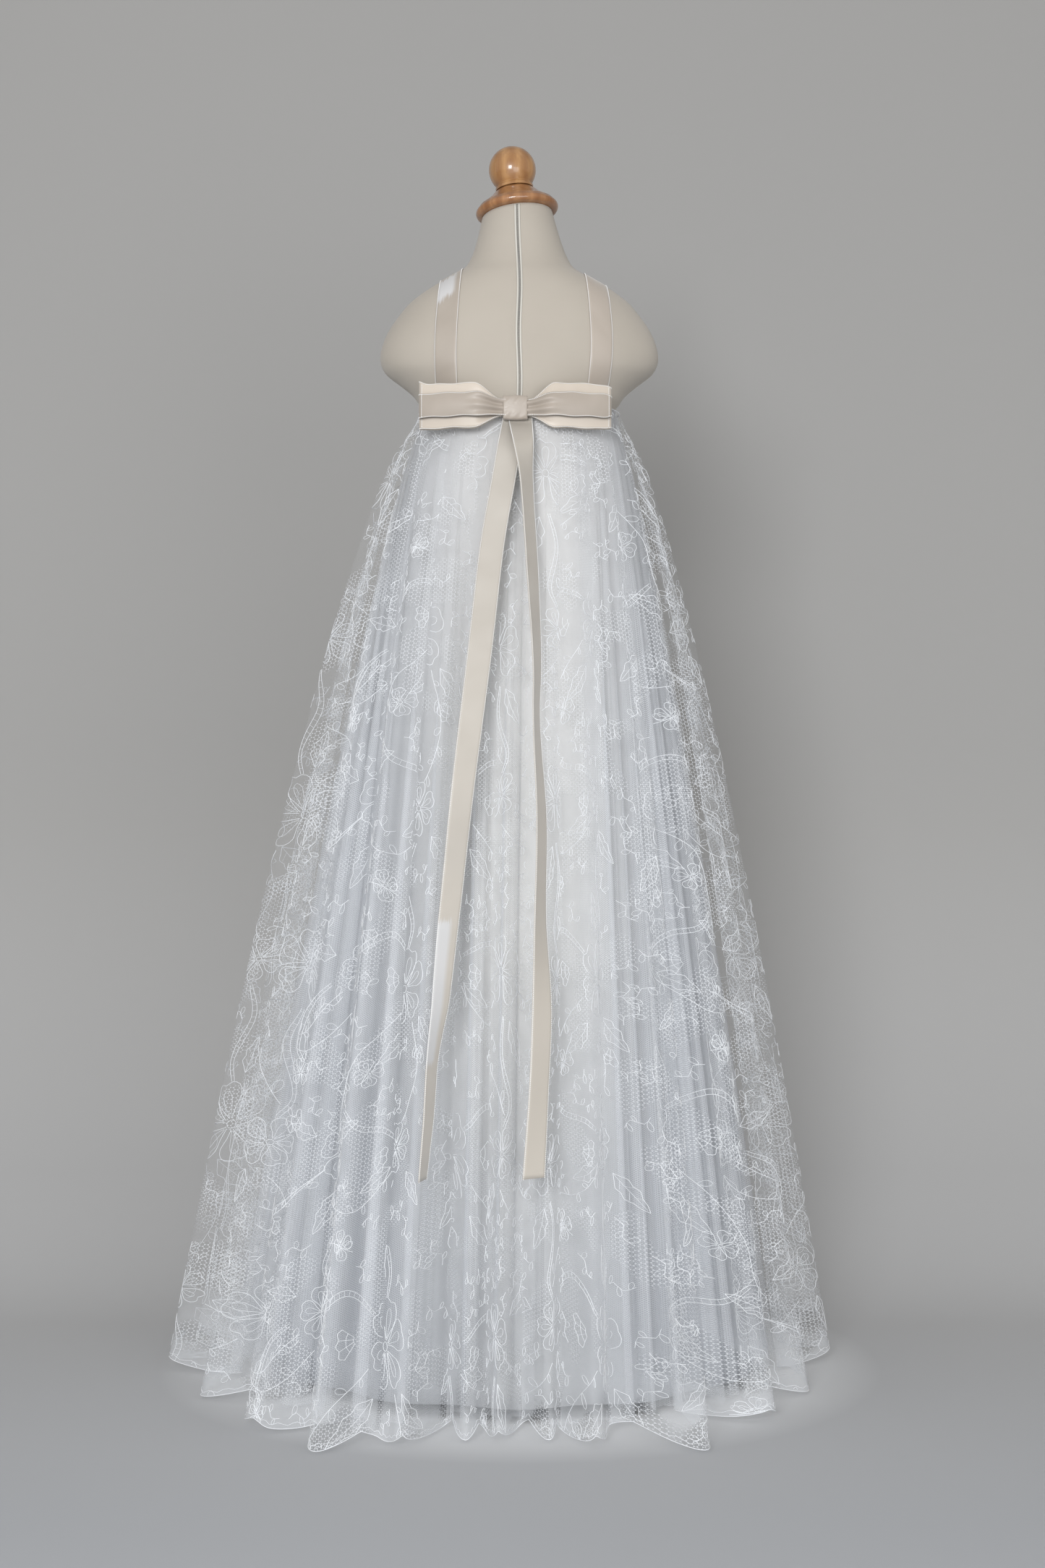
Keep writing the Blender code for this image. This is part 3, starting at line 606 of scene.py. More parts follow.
def lace_ground_finish():
    """Fine net, with patches of more open honeycomb between the corded shapes."""
    finish = Finish("lace_ground")
    open_threads = finish.math("MULTIPLY", finish.honeycomb(0.0038), 0.50)
    opened = finish.ramp(finish.noise(finish.cloth(26, 20), 0.0), 0.50, 0.56)
    fine = finish.ramp(finish.down(), 0.84, 0.93, 0.04, 0.34)
    return finish.sheer((0.92, 0.945, 0.98), finish.node("Mix", {0: opened, 2: fine, 3: open_threads}), 0.2)


def cord_finish():
    finish = Finish("lace_cord")
    twist = finish.ramp(finish.bands(finish.cloth(), "DIAGONAL"), 0.2, 0.8)
    colour = finish.blend(twist, (0.78, 0.805, 0.835), (0.86, 0.88, 0.91))
    return finish.set(Base_Color=colour, Roughness=0.55, Sheen_Weight=0.25, Specular_IOR_Level=0.4)


def net_finish():
    finish = Finish("soft_net")
    threads = finish.ramp(finish.honeycomb(0.0019), 0.0, 1.0, 0.27, 0.56)
    slub = finish.ramp(finish.noise(finish.cloth(14, 1.8), 0.0), 0.35, 0.65, 0.86, 1.14)
    close = finish.math("MULTIPLY", slub, finish.ramp(finish.down(), 0.78, 0.90, 1.0, 0.7))
    return finish.sheer((0.90, 0.925, 0.965), finish.math("MULTIPLY", threads, close), 0.3)


def lining_finish():
    """Ivory at the top, with painted shade: greyer lower down and towards the sides."""
    finish = Finish("lining_cloth")
    tone = finish.ramp(finish.noise(finish.cloth(5, 2.5)), 0.3, 0.7)
    across = finish.math("ABSOLUTE", finish.part(finish.place(), "X"))
    colour = finish.blend(tone, (0.66, 0.645, 0.61), (0.70, 0.69, 0.66))
    colour = finish.blend(finish.ramp(finish.down(), 0.04, 0.40), (0.70, 0.68, 0.65), colour)
    # Painted shade: the lining is made darker and greyer lower down and towards the sides.
    colour = finish.blend(finish.ramp(finish.down(), 0.50, 0.80), colour, (0.42, 0.425, 0.43))
    colour = finish.blend(finish.ramp(across, 0.02, 0.14, 0.0, 0.9), colour, (0.36, 0.38, 0.415))
    finish.bump(finish.weave(700), 0.25, 0.0002)
    return finish.set(Base_Color=colour, Roughness=0.75, Specular_IOR_Level=0.2)


def satin_finish(name, shade, glow, lower=1.0, sheen=None):
    """Satin ribbon: long floats across its width, and painted light: a lighter lower end or a painted highlight."""
    finish = Finish(name)
    floats = finish.noise(finish.cloth(250, 2600))
    colour = finish.blend(finish.ramp(finish.noise(finish.cloth(18, 26)), 0.3, 0.7), shade, glow)
    # Painted light: the colour turns lighter towards the lower end, where the twisted tail would fall in shade.
    if lower != 1.0:
        light = tuple(min((a + b) / 2 * lower, 0.95) for a, b in zip(shade, glow))
        colour = finish.blend(finish.ramp(finish.down(), 0.20, 0.55), colour, light)
    if sheen is not None:
        # Painted highlight: a pale stretch blended into the colour, its ends made ragged by noise.
        start, end, across = sheen
        sheen_edge_noise = finish.math("MULTIPLY", finish.noise(finish.cloth(900, 60), 1.0), 0.02)
        ragged_sheen_along = finish.math("ADD", finish.down(), sheen_edge_noise)
        ends = finish.ramp(ragged_sheen_along, start, start + 0.004), finish.ramp(ragged_sheen_along, end, end - 0.006)
        beside = finish.ramp(finish.part(finish.cloth(), "X"), across, across - 0.005)
        painted_sheen_mask = finish.math("MULTIPLY", finish.math("MULTIPLY", *ends), beside)
        colour = finish.blend(finish.math("MULTIPLY", painted_sheen_mask, 0.75), colour, (0.70, 0.71, 0.73))
    finish.bump(floats, 0.18, 0.0002)
    finish.set(Base_Color=colour, Roughness=finish.ramp(floats, 0.3, 0.7, 0.34, 0.48))
    return finish.set(Sheen_Weight=0.35, Sheen_Roughness=0.4, Anisotropic=0.45, Specular_IOR_Level=0.45)


def stitch_finish(name, colour):
    finish = Finish(name)
    strand = finish.ramp(finish.bands(finish.place(1500, 1500, 1500), "DIAGONAL"), 0.2, 0.8)
    shade = finish.blend(strand, tuple(c * 0.86 for c in colour), colour)
    return finish.set(Base_Color=shade, Roughness=0.5, Sheen_Weight=0.2)


def form_finish():
    """Cream cover cloth with a fine plain weave."""
    finish = Finish("form_cover")
    tone = finish.ramp(finish.noise(finish.place(7, 7, 7), 3.0), 0.35, 0.65)
    slub = finish.ramp(finish.noise(finish.cloth(60, 420)), 0.35, 0.75, 0.0, 0.25)
    base = finish.blend(tone, (0.450, 0.408, 0.352), (0.492, 0.448, 0.388))
    finish.bump(finish.weave(520, 0.6), 0.3, 0.0003)
    colour = finish.blend(slub, base, (0.47, 0.435, 0.375))
    return finish.set(Base_Color=colour, Roughness=0.85, Sheen_Weight=0.2, Specular_IOR_Level=0.25)


def wood_finish(name, shade, light, dark):
    """Varnished honey-coloured wood, its grain along the turning axis."""
    finish = Finish(name)
    turn = (-CAP_PITCH, -CAP_ROLL, 0)
    grain = finish.noise(finish.place(90, 90, 9, turn), 4.0, 3.0, 0.6)
    base = finish.blend(finish.bands(finish.place(26, 26, 4, turn), "X", 5.0), shade, light)
    colour = finish.blend(finish.ramp(grain, 0.4, 0.75, 0.0, 0.6), base, dark)
    finish.bump(grain, 0.08, 0.0004)
    return finish.set(Base_Color=colour, Roughness=0.38, Coat_Weight=0.9, Coat_Roughness=0.13)


def steel_finish():
    finish = Finish("stand_steel")
    brushed = finish.ramp(finish.noise(finish.place(900, 900, 12), 3.0), 0.3, 0.7, 0.28, 0.42)
    return finish.set(Base_Color=(0.55, 0.55, 0.56), Metallic=1.0, Roughness=brushed)


def zip_finish():
    finish = Finish("zip_coil")
    tone = finish.noise(finish.place(400, 400, 400), 1.0)
    return finish.set(Base_Color=finish.blend(tone, (0.26, 0.255, 0.24), (0.34, 0.33, 0.31)), Roughness=0.5)


# Lace drawing, in millimetres on the flat cloth, y down the skirt. Each line has points and a weight.

PETAL = (
    (0.14, -0.30), (0.40, -0.78), (0.70, -0.98), (0.92, -0.74), (1.00, -0.36), (0.93, 0.0),
    (1.00, 0.36), (0.92, 0.74), (0.70, 0.98), (0.40, 0.78), (0.14, 0.30),
)
PETAL_LOOP = ((0.18, -0.10), (0.45, -0.34), (0.70, -0.30), (0.80, 0.0), (0.70, 0.30), (0.45, 0.34), (0.18, 0.10))
BUD = ((0, 0), (0.35, 0.20), (0.75, 0.22), (1.0, 0.0), (0.75, -0.22), (0.35, -0.20))
FLOWERS = (
    (6, 37, 0.3, (62, 70)), (5, 33, 1.0, (206, 226)), (5, 23, 0.0, (205, 62)), (6, 22, 0.6, (58, 222)),
    (4, 13, 0.4, (132, 146)), (5, 12, 0.9, (264, 146)), (4, 12, 0.2, (134, 296)),
)
FANS = (((112, 60), 0.2), ((160, 26), 2.6), ((20, 132), 1.1), ((256, 196), -0.6), ((110, 226), 3.0))
LEAVES = (
    ((92, 108), 0.7, 46, 17), ((30, 104), 2.2, 40, 15), ((66, 24), -1.3, 34, 13), ((170, 208), 3.6, 44, 16),
    ((216, 266), 1.2, 42, 15), ((240, 208), -0.5, 36, 14), ((190, 88), 1.9, 34, 13), ((232, 50), -0.2, 36, 13),
    ((84, 236), 0.5, 38, 14), ((36, 244), 2.3, 34, 13),
)
SPRIGS = (
    ((98, 84), (128, 108), (150, 140), (158, 178), (180, 200)),
    ((206, 92), (230, 118), (262, 128), (290, 112), (322, 88)),
    ((44, 106), (30, 150), (44, 186), (54, 200)),
    ((80, 240), (108, 262), (128, 270), (170, 262), (186, 250)),
    ((232, 244), (262, 262), (290, 268), (330, 236)),
    ((206, 30), (186, 6), (150, -14), (120, -8)),
)
LADDERS = (
    ((90, 44), (124, 24), (158, 40), (182, 54)),
    ((206, 262), (200, 292), (214, 330), (206, 350)),
    ((58, 250), (66, 282), (52, 320), (56, 342)),
    ((150, 180), (128, 196), (104, 200), (80, 212)),
    ((232, 74), (256, 92), (268, 122), (262, 136)),
)
TWIG = ((-11, 0), (-3, 3), (4, -3), (12, 1))
TWIG_TRIES = 420
TWIG_SPACING = 11.0
LADDER_GAP = 4.6


def curve_through(points, closed=False, step=CORD_STEP * 1000):
    """A smooth line through points, sampled at an even step."""
    p = np.asarray(points, float)
    first, last = (p[-1:], p[:2]) if closed else (2 * p[:1] - p[1:2], 2 * p[-1:] - p[-2:-1])
    p = np.vstack((first, p, last))
    line = []
    for a, b, c, d in zip(p, p[1:], p[2:], p[3:]):
        pieces = max(2, math.ceil(np.linalg.norm(c - b) / step))
        for t in np.arange(pieces) / pieces:
            bend = (2 * a - 5 * b + 4 * c - d) * t * t
            line.append(0.5 * (2 * b + (c - a) * t + bend + (3 * b - a - 3 * c + d) * t**3))
    return np.array([*line, p[-2]])


def polar(reach, turn):
    return np.array((reach * math.cos(turn), reach * math.sin(turn)))


def flower(petals, reach, turn, draw):
    """A flower with waved petals, each with a loop inside."""
    heart = [polar(reach * 0.10, a) for a in np.linspace(0, 2 * np.pi, 7)[:-1]]
    lines = [(curve_through(heart, True, 2.5), 0.9)]
    half = math.pi / petals
    for n in range(petals):
        middle = turn + 2 * half * n + draw.uniform(-0.12, 0.12)
        size = reach * draw.uniform(0.86, 1.12)
        wide = half * draw.uniform(0.78, 0.98)
        outline = [polar(size * out * draw.uniform(0.97, 1.03), middle + wide * across) for out, across in PETAL]
        loop = [polar(size * out, middle + wide * across) for out, across in PETAL_LOOP]
        lines += [(curve_through(outline), 1.0), (curve_through(loop), 0.7)]
    return lines


def leaf(length, width, draw):
    """A toothed leaf along +x with a midrib and side veins."""

    def reach(share):
        return width / 2 * math.sin(math.pi * share**0.8)

    lines = []
    for side in (-1, 1):
        shares = enumerate(np.linspace(0, 1, 8))
        edge = [(length * share, side * (reach(share) * (1.0 + 0.16 * (-1) ** n))) for n, share in shares]
        lines.append((curve_through(edge), 1.0))
    lines.append((curve_through([(0, 0), (length * 0.5, width * 0.06), (length * 0.93, 0)]), 0.7))
    for share, side in ((0.30, -1), (0.42, 1), (0.58, -1), (0.70, 1)):
        out = reach(share) * draw.uniform(0.7, 0.95)
        lines.append((np.array([(length * (share - 0.08), 0), (length * (share + 0.05), side * out)]), 0.5))
    return lines


def fan(reach, spread, spokes):
    """A fan of spokes between two arcs and a scalloped edge."""

    def turns(count):
        return np.linspace(-spread / 2, spread / 2, count)

    lines = [(np.array((polar(reach * 0.22, turn), polar(reach, turn))), 0.8) for turn in turns(spokes)]
    for share in (0.22, 0.62):
        lines.append((curve_through([polar(reach * share, turn) for turn in turns(7)], False, 2.5), 0.8))
    edge = []
    for n in range(2 * spokes - 1):
        edge.append(polar(reach * (1.14 if n % 2 else 1.0), -spread / 2 + spread * n / (2 * spokes - 2)))
    return [*lines, (curve_through(edge, False, 2.5), 1.0)]


def sprig(path, draw, every=14.0, size=10.0):
    """A stem with small leaves on alternate sides."""
    stem = curve_through(path)
    lines = [(stem, 1.0)]
    lengths = lengths_along(stem)
    side = 1
    for at in np.arange(every * 0.6, lengths[-1] - 3, every):
        n = min(int(np.searchsorted(lengths, at)), len(stem) - 2)
        along = stem[n + 1] - stem[n]
        heading = math.atan2(along[1], along[0]) + side * draw.uniform(0.6, 1.1)
        long = size * draw.uniform(0.7, 1.25)
        cos, sin = math.cos(heading), math.sin(heading)
        bud = [stem[n] + long * np.array((x * cos - y * sin, x * sin + y * cos)) for x, y in BUD]
        lines.append((curve_through(bud, True, 3.0), 0.75))
        side = -side
    return lines


def ladder(path):
    """Two stems side by side, joined by rungs."""
    middle = curve_through(path, False, 3.0)
    along = np.gradient(middle, axis=0)
    across = unit(np.stack((-along[:, 1], along[:, 0]), -1))
    swell = LADDER_GAP / 2 * (0.55 + 0.45 * np.sin(np.linspace(0, np.pi, len(middle))))[:, None]
    left, right = middle - across * swell, middle + across * swell
    rungs = [(np.array(rung), 0.5) for rung in zip(left[1:-1:2], right[1:-1:2])]
    return [(left, 0.9), (right, 0.9), *rungs]


def moved(lines, place, turn=0.0):
    cos, sin = math.cos(turn), math.sin(turn)
    rotate = np.array(((cos, sin), (-sin, cos)))
    return [(line @ rotate + np.array(place), weight) for line, weight in lines]


def lace_tile(draw):
    """One repeat of the lace: flowers, fans, leaves, sprigs and ladders, and small twigs between."""
    size = np.array((TILE_WIDTH, TILE_LENGTH)) * 1000
    lines = []
    for petals, reach, turn, place in FLOWERS:
        lines += moved(flower(petals, reach, turn, draw), place)
    for place, turn in FANS:
        lines += moved(fan(17, 1.5, 4), place, turn)
    for place, turn, length, width in LEAVES:
        lines += moved(leaf(length, width, draw), place, turn)
    for path in SPRIGS:
        lines += sprig(path, draw)
    for path in LADDERS:
        lines += ladder(path)
    taken = np.mod(np.vstack([line for line, _ in lines]), size)
    for _ in range(TWIG_TRIES):
        spot = np.array([draw.uniform(0, side) for side in size])
        if np.min(np.linalg.norm(taken - spot, axis=1)) < TWIG_SPACING:
            continue
        turn = draw.uniform(0, 2 * math.pi)
        twig = moved(sprig(TWIG, draw, 7.0, 7.5), spot, turn)
        lines += twig
        taken = np.vstack((taken, np.mod(np.vstack([line for line, _ in twig]), size)))
    return lines


def lace_lines():
    """The whole skirt's lace drawing: the repeat, set in half drop and mirrored in turn, then
    drawn a little out of true as gathered cloth is. Flat metres and a weight for each line."""
    tile = lace_tile(random.Random(7))
    round_skirt = FOLD_COUNT * FOLD_CLOTH
    deep = LACE_DRAWN_LENGTH * CLOTH_STRETCH
    turn = 2 * np.pi / round_skirt
    drawn = []
    for column in range(round(round_skirt / TILE_WIDTH)):
        for row in range(-1, math.ceil(deep / TILE_LENGTH) + 1):
            for line, weight in tile:
                u, v = (line / 1000).T
                u = (TILE_WIDTH - u if column % 2 else u) + column * TILE_WIDTH
                v = v + (row * TILE_LENGTH + column % 2 * TILE_LENGTH / 2)
                if v.max() < 0 or v.min() > deep:
                    continue
                across = 0.007 * np.sin(7 * turn * u + 9 * v) + 0.005 * np.sin(11 * turn * u - 21 * v + 1)
                down = 0.008 * np.sin(5 * turn * u + 14 * v + 2) + 0.005 * np.sin(13 * turn * u + 5 * v)
                drawn.append((np.stack((u + across, v + down), -1), weight))
    return drawn


def shown_widths():
    """How much of each fold's cloth shows at a row of heights. The rest is tucked in the valleys."""
    heights = np.linspace(0, LAYER_TOP, 46)
    places = np.arange(FOLD_COUNT)[None, :, None] + np.linspace(-0.5, 0.5, 21)[None, None, :]
    points = lace_surface(places, np.maximum(heights, HEM_HEIGHT)[:, None, None])
    widths = np.linalg.norm(np.diff(points, axis=2), axis=3).sum(axis=2)
    return heights, np.minimum(widths, FOLD_CLOTH)


SHOWN_HEIGHTS, SHOWN_WIDTHS = shown_widths()


def shown_width(fold, height):
    level = np.clip(height / SHOWN_HEIGHTS[1], 0, len(SHOWN_HEIGHTS) - 1.001)
    low = level.astype(int)
    part = level - low
    fold = np.mod(fold, FOLD_COUNT)
    return SHOWN_WIDTHS[low, fold] * (1 - part) + SHOWN_WIDTHS[low + 1, fold] * part


def lace_uv(place, height):
    """Flat metres on the cloth at places and heights."""
    fold = np.floor(place + 0.5).astype(int)
    u = fold * FOLD_CLOTH + (place - fold) * shown_width(fold, height)
    return np.stack((u, (LAYER_TOP - height) * CLOTH_STRETCH), -1)


def runs_inside(flat, start, end):
    """The stretches of a line that show on a panel, as places and heights."""
    fold = np.floor(flat[:, 0] / FOLD_CLOTH + 0.5).astype(int)
    height = LAYER_TOP - flat[:, 1] / CLOTH_STRETCH
    part = (flat[:, 0] - fold * FOLD_CLOTH) / shown_width(fold, height)
    place = start + np.mod(fold + part - start, FOLD_COUNT)
    inside = (np.abs(part) < 0.5) & (place < end - CORD_INSET) & (height < LAYER_TOP - CORD_MARGIN)
    inside &= height > lace_hem_height(place) + CORD_MARGIN
    breaks = np.flatnonzero(np.diff(inside.astype(int)) | (np.abs(np.diff(place)) > LONGEST_STEP)) + 1
    for run in np.split(np.arange(len(flat)), breaks):
        if len(run) > 1 and inside[run[0]]:
            yield place[run], height[run]


def cord_piece(name, runs, look):
    """Cords laid on the lace: a low ridge with two slopes along runs of places and heights."""
    place, height = (np.concatenate([run[n] for run in runs]) for n in (0, 1))
    radius = np.concatenate([np.full(len(run[0]), run[2] * CORD_RADIUS) for run in runs])
    ends = np.cumsum([len(run[0]) for run in runs])
    starts = np.concatenate(((0,), ends[:-1]))
    middle = lace_surface(place, height)
    step = 1e-3
    beside = lace_surface(place + step, height) - lace_surface(place - step, height)
    below = lace_surface(place, height - step) - lace_surface(place, height + step)
    along = np.gradient(middle, axis=0)
    along[starts] = middle[starts + 1] - middle[starts]
    along[ends - 1] = middle[ends - 1] - middle[ends - 2]
    along = unit(along)
    side = unit(np.cross(along, unit(np.cross(below, beside))))
    out = np.cross(side, along)
    middle = middle + out * (radius * CORD_LIFT)[:, None]
    corners = [
        middle + radius[:, None] * (out * math.sin(turn) + side * math.cos(turn))
        for turn in map(math.radians, (90, 210, 330))
    ]
    links = np.setdiff1d(np.arange(len(place) - 1), ends - 1) * 3
    faces = [np.stack((links + n, links + m, links + 3 + m, links + 3 + n), -1) for n, m in ((1, 0), (0, 2))]
    uv = np.stack((np.tile((0.0, 1.0, 2.0), len(place)), np.repeat(lengths_along(middle) * TWISTS, 3)), -1)
    return mesh_piece(name, np.stack(corners, 1).reshape(-1, 3), np.concatenate(faces).tolist(), look, uv)


# Skirt


def level_grid(start, end, gap, per_fold, hem, rows):
    """Places and heights over a panel, down to a level hem."""
    columns = round((end - start) * per_fold) + 1
    return np.meshgrid(np.linspace(start + gap, end - gap, columns), np.linspace(LAYER_TOP, hem, rows))


def skirt_pieces(looks):
    """Lace, its cords, net and lining for each of the two panels."""
    made = {}
    drawn = lace_lines()
    for side, start, end in PANELS:
        places, _ = level_grid(start, end, PANEL_GAP, LACE_COLUMNS_PER_FOLD, 0, LACE_ROWS)
        down = np.linspace(0, 1, LACE_ROWS)[:, None] ** LACE_ROW_POWER
        heights = LAYER_TOP + (lace_hem_height(places) - LAYER_TOP) * down
        grid = lace_surface(places, heights)
        lace = cloth_piece(f"lace_{side}", grid, looks["ground"], lace_uv(places, heights))
        stands_for(lace, f"skirt_lace_{side}")

        runs = [(*run, weight) for flat, weight in drawn for run in runs_inside(flat, start, end)]
        places = np.linspace(start + CORD_INSET, end - CORD_INSET, round((end - start) * HEM_POINTS_PER_FOLD))
        edge = lace_hem_height(places)
        runs.append((places, edge + HEM_CORD_LIFT, 1.3))
        runs.append((places, edge + INNER_CORD_LIFT + INNER_CORD_WAVE * np.sin(places * 60), 0.8))
        runs.append((places, np.full(len(places), LAYER_TOP - TOP_CORD_DROP), 1.8))
        cords = cord_piece(f"lace_cords_{side}", runs, looks["cord"])

        places, heights = level_grid(start, end, PANEL_GAP, NET_COLUMNS_PER_FOLD, NET_HEM_HEIGHT, NET_ROWS)
        uv = np.stack((places * FOLD_CLOTH, (LAYER_TOP - heights) * CLOTH_STRETCH), -1)
        net = cloth_piece(f"net_{side}", net_surface(places, heights), looks["net"], uv)
        stands_for(net, f"skirt_net_{side}")

        lining_columns = LINING_COLUMNS_PER_FOLD
        places, heights = level_grid(start, end, PANEL_GAP / 2, lining_columns, LINING_HEM_HEIGHT, LINING_ROWS)
        uv = np.stack((places * LINING_FOLD_CLOTH, LAYER_TOP - heights), -1)
        lining = cloth_piece(f"lining_{side}", lining_surface(places, heights), looks["lining"], uv)
        give_wall(lining, LINING_WALL, -1)
        stands_for(lining, f"skirt_lining_{side}")
        made[side] = (lace, cords, net, lining)
    return made


# Ribbons


def ribbon_piece(name, rows, look):
    """A ribbon through rows of points across it, smoothed both ways."""
    rows = np.asarray(rows, float)
    length = lengths_along(rows[:, rows.shape[1] // 2])
    at = np.linspace(0, length[-1], max(2, round(length[-1] / RIBBON_STEP) + 1))
    key, across = np.linspace(0, 1, rows.shape[1]), np.linspace(0, 1, RIBBON_COLUMNS)
    grid = smooth_rows(key, smooth_rows(length, rows, at).swapaxes(0, 1), across).swapaxes(0, 1)
    width = lengths_along(rows[len(rows) // 2])[-1]
    piece = cloth_piece(name, grid, look, np.stack(np.meshgrid(across * width, at), -1))
    return give_wall(piece, RIBBON_CLOTH), grid


def stitch_tree():
    """Small stitches set at an even step along a line."""
    tree = bpy.data.node_groups.new("stitches_along", "GeometryNodeTree")
    tree.interface.new_socket("Geometry", in_out="INPUT", socket_type="NodeSocketGeometry")
    for label, value in (("Step", 0.0016), ("Stitch Length", 0.0010), ("Stitch Width", 0.0005)):
        tree.interface.new_socket(label, in_out="INPUT", socket_type="NodeSocketFloat").default_value = value
    tree.interface.new_socket("Material", in_out="INPUT", socket_type="NodeSocketMaterial")
    tree.interface.new_socket("Geometry", in_out="OUTPUT", socket_type="NodeSocketGeometry")
    kinds = (
        "NodeGroupInput", "GeometryNodeMeshToCurve", "GeometryNodeResampleCurve", "GeometryNodeMeshUVSphere",
        "ShaderNodeCombineXYZ", "GeometryNodeInputTangent", "FunctionNodeAlignRotationToVector",
        "GeometryNodeInstanceOnPoints", "GeometryNodeRealizeInstances", "GeometryNodeSetMaterial",
        "NodeGroupOutput",
    )
    given, line, steps, bead, size, tangent, turn, place, realize, finish, out = map(tree.nodes.new, kinds)
    steps.mode = "LENGTH"
    turn.axis = "X"
    for key, value in (("Segments", 6), ("Rings", 4), ("Radius", 0.5)):
        bead.inputs[key].default_value = value
    for source, output, target, key in (
        (given, "Geometry", line, 0),
        (line, 0, steps, "Curve"),
        (given, "Step", steps, "Length"),
        (given, "Stitch Length", size, 0),
        (given, "Stitch Width", size, 1),
        (given, "Stitch Width", size, 2),
        (tangent, 0, turn, "Vector"),
        (steps, 0, place, "Points"),
        (bead, "Mesh", place, "Instance"),
        (turn, 0, place, "Rotation"),
        (size, 0, place, "Scale"),
        (place, 0, realize, 0),
        (realize, 0, finish, "Geometry"),
        (given, "Material", finish, "Material"),
        (finish, 0, out, 0),
    ):
        tree.links.new(source.outputs[output], target.inputs[key])
    return tree


def stitched(name, paths, tree, look, step, length, width):
    """Rows of stitches along paths of points, as one plain mesh."""
    points, edges = [], []
    for path in paths:
        edges += [(len(points) + n, len(points) + n + 1) for n in range(len(path) - 1)]
        points += [tuple(p) for p in path]
    mesh = bpy.data.meshes.new(name)
    mesh.from_pydata(points, edges, [])
    piece = linked(name, mesh)
    sew = piece.modifiers.new("sewing", "NODES")
    sew.node_group = tree
    named = {item.name: item.identifier for item in tree.interface.items_tree if item.in_out == "INPUT"}
    for label, value in (("Step", step), ("Stitch Length", length), ("Stitch Width", width), ("Material", look)):
        sew[named[label]] = value
    settle(piece)
    piece.data.shade_smooth()
    return piece


def skirt_reach(x, height):
    """How far the lace stands out to the back at a place across and a height."""
    places = CENTRE_BACK_FOLD + np.arange(-96, 97) / 24
    points = lace_surface(places, np.full(len(places), height))
    one, other = points[:-1], points[1:]
    over = (np.minimum(one[:, 0], other[:, 0]) <= x) & (x <= np.maximum(one[:, 0], other[:, 0]))
    return float(-np.minimum(one[:, 1], other[:, 1])[over].min()) if over.any() else 0


def ribbon_reach(rows, x, height):
    """How far a ribbon that hangs in rows of points stands out to the back, or 0 beside it."""
    for upper, lower in zip(rows, rows[1:]):
        if lower[0][2] <= height <= upper[0][2]:
            part = (upper[0][2] - height) / (upper[0][2] - lower[0][2])
            row = upper + (lower - upper) * part
            for left, right in zip(row, row[1:]):
                if left[0] <= x <= right[0]:
                    return -(left + (right - left) * (x - left[0]) / (right[0] - left[0]))[1] + RIBBON_WALL
    return 0


def edge_lines(grid, lift):
    """Lines just inside a ribbon's two edges, lifted off its face."""
    across = unit(grid[:, -1] - grid[:, 0])
    out = unit(np.cross(np.gradient(grid[:, grid.shape[1] // 2], axis=0), across))
    return [grid[:, 0] + across * PICOT_INSET + out * lift, grid[:, -1] - across * PICOT_INSET + out * lift]


def tail_rows(sections, layer, under):
    """Rows of points across a ribbon end that hangs from the knot and lies on the skirt."""
    top, bottom = sections[-1, 0], sections[0, 0]
    steps = round((TAIL_UNDER_KNOT - bottom) / TAIL_STEP)
    start = layer * TAIL_LAYER - TAIL_TOP_BACK
    rows = []
    for height in [top] + [TAIL_UNDER_KNOT + (bottom - TAIL_UNDER_KNOT) * n / steps for n in range(steps + 1)]:
        across, turn = (float(smooth_table(sections[:, 0], sections[:, k], height)) for k in (1, 2))
        half_x = RIBBON_WIDTH / 2 * math.cos(math.radians(turn))
        half_y = RIBBON_WIDTH / 2 * math.sin(math.radians(turn))
        rest = start
        for part in (-1, -0.7, -0.35, 0, 0.35, 0.7, 1):
            x = across + half_x * part
            for z in (height - TAIL_STEP, height, height + TAIL_STEP):
                reach = max(skirt_reach(x, z), ribbon_reach(under, x, z)) + half_y * part
                rest = max(rest, reach + TAIL_CLEARANCE)
        freed = min(max((TAIL_UNDER_KNOT - height) / TAIL_STEP, 0), 1)
        away = start + (rest - start) * freed
        middle = np.array((across, -away - RIBBON_WALL / 2, height))
        rows.append(np.array([middle + np.array((half_x * part, half_y * part, 0)) for part in (-1, 0, 1)]))
    return rows


def halved(low, high, steps, is_low):
    """Halves a span again and again, to the last value for which a test holds."""
    for _ in range(steps):
        middle = (low + high) / 2
        if is_low(middle):
            low = middle
        else:
            high = middle
    return low


def shoulder_point(across, climb):
    """A place on the form's shoulder, by its climb in degrees from the back over to the front."""
    turn = math.radians(climb)
    heading = np.array((0, -math.cos(turn), math.sin(turn)))
    core = np.array((across, 0, SHOULDER_CORE))

    def is_inside(distance):
        point = core + heading * distance
        half_width, half_depth, _ = torso_size(point[2])
        return (point[0] / half_width) ** 2 + (point[1] / half_depth) ** 2 < 1

    return core + heading * (halved(0.0, 0.12, 32, is_inside) + STRAP_LIFT)


def strap_rows(places):
    """Rows of points across a strap, from the bodice over the shoulder down to the bow."""

    def climb_to(across, height, front):
        def is_under(climb):
            return shoulder_point(across, 180 - climb if front else climb)[2] < height

        low = halved(-70.0, 60.0, 26, is_under)
        return 180 - low if front else low

    edges = [STRAP_HALF_ACROSS * share for share in (-1, -0.5, 0, 0.5, 1)]
    starts = [climb_to(places[0, 1] + edge, STRAP_FOOT, False) for edge in edges]
    ends = [climb_to(places[-1, 1] + edge, BODICE_TOP + STRAP_SEAM, True) for edge in edges]
    rows = []
    for n in range(STRAP_ROWS + 1):
        climbs = [start + (end - start) * (n / STRAP_ROWS) for start, end in zip(starts, ends)]
        across = [float(smooth_table(places[:, 0], places[:, 1], climb)) for climb in climbs]
        rows.append([shoulder_point(x + edge, climb) for x, edge, climb in zip(across, edges, climbs)])
    return rows[::-1]


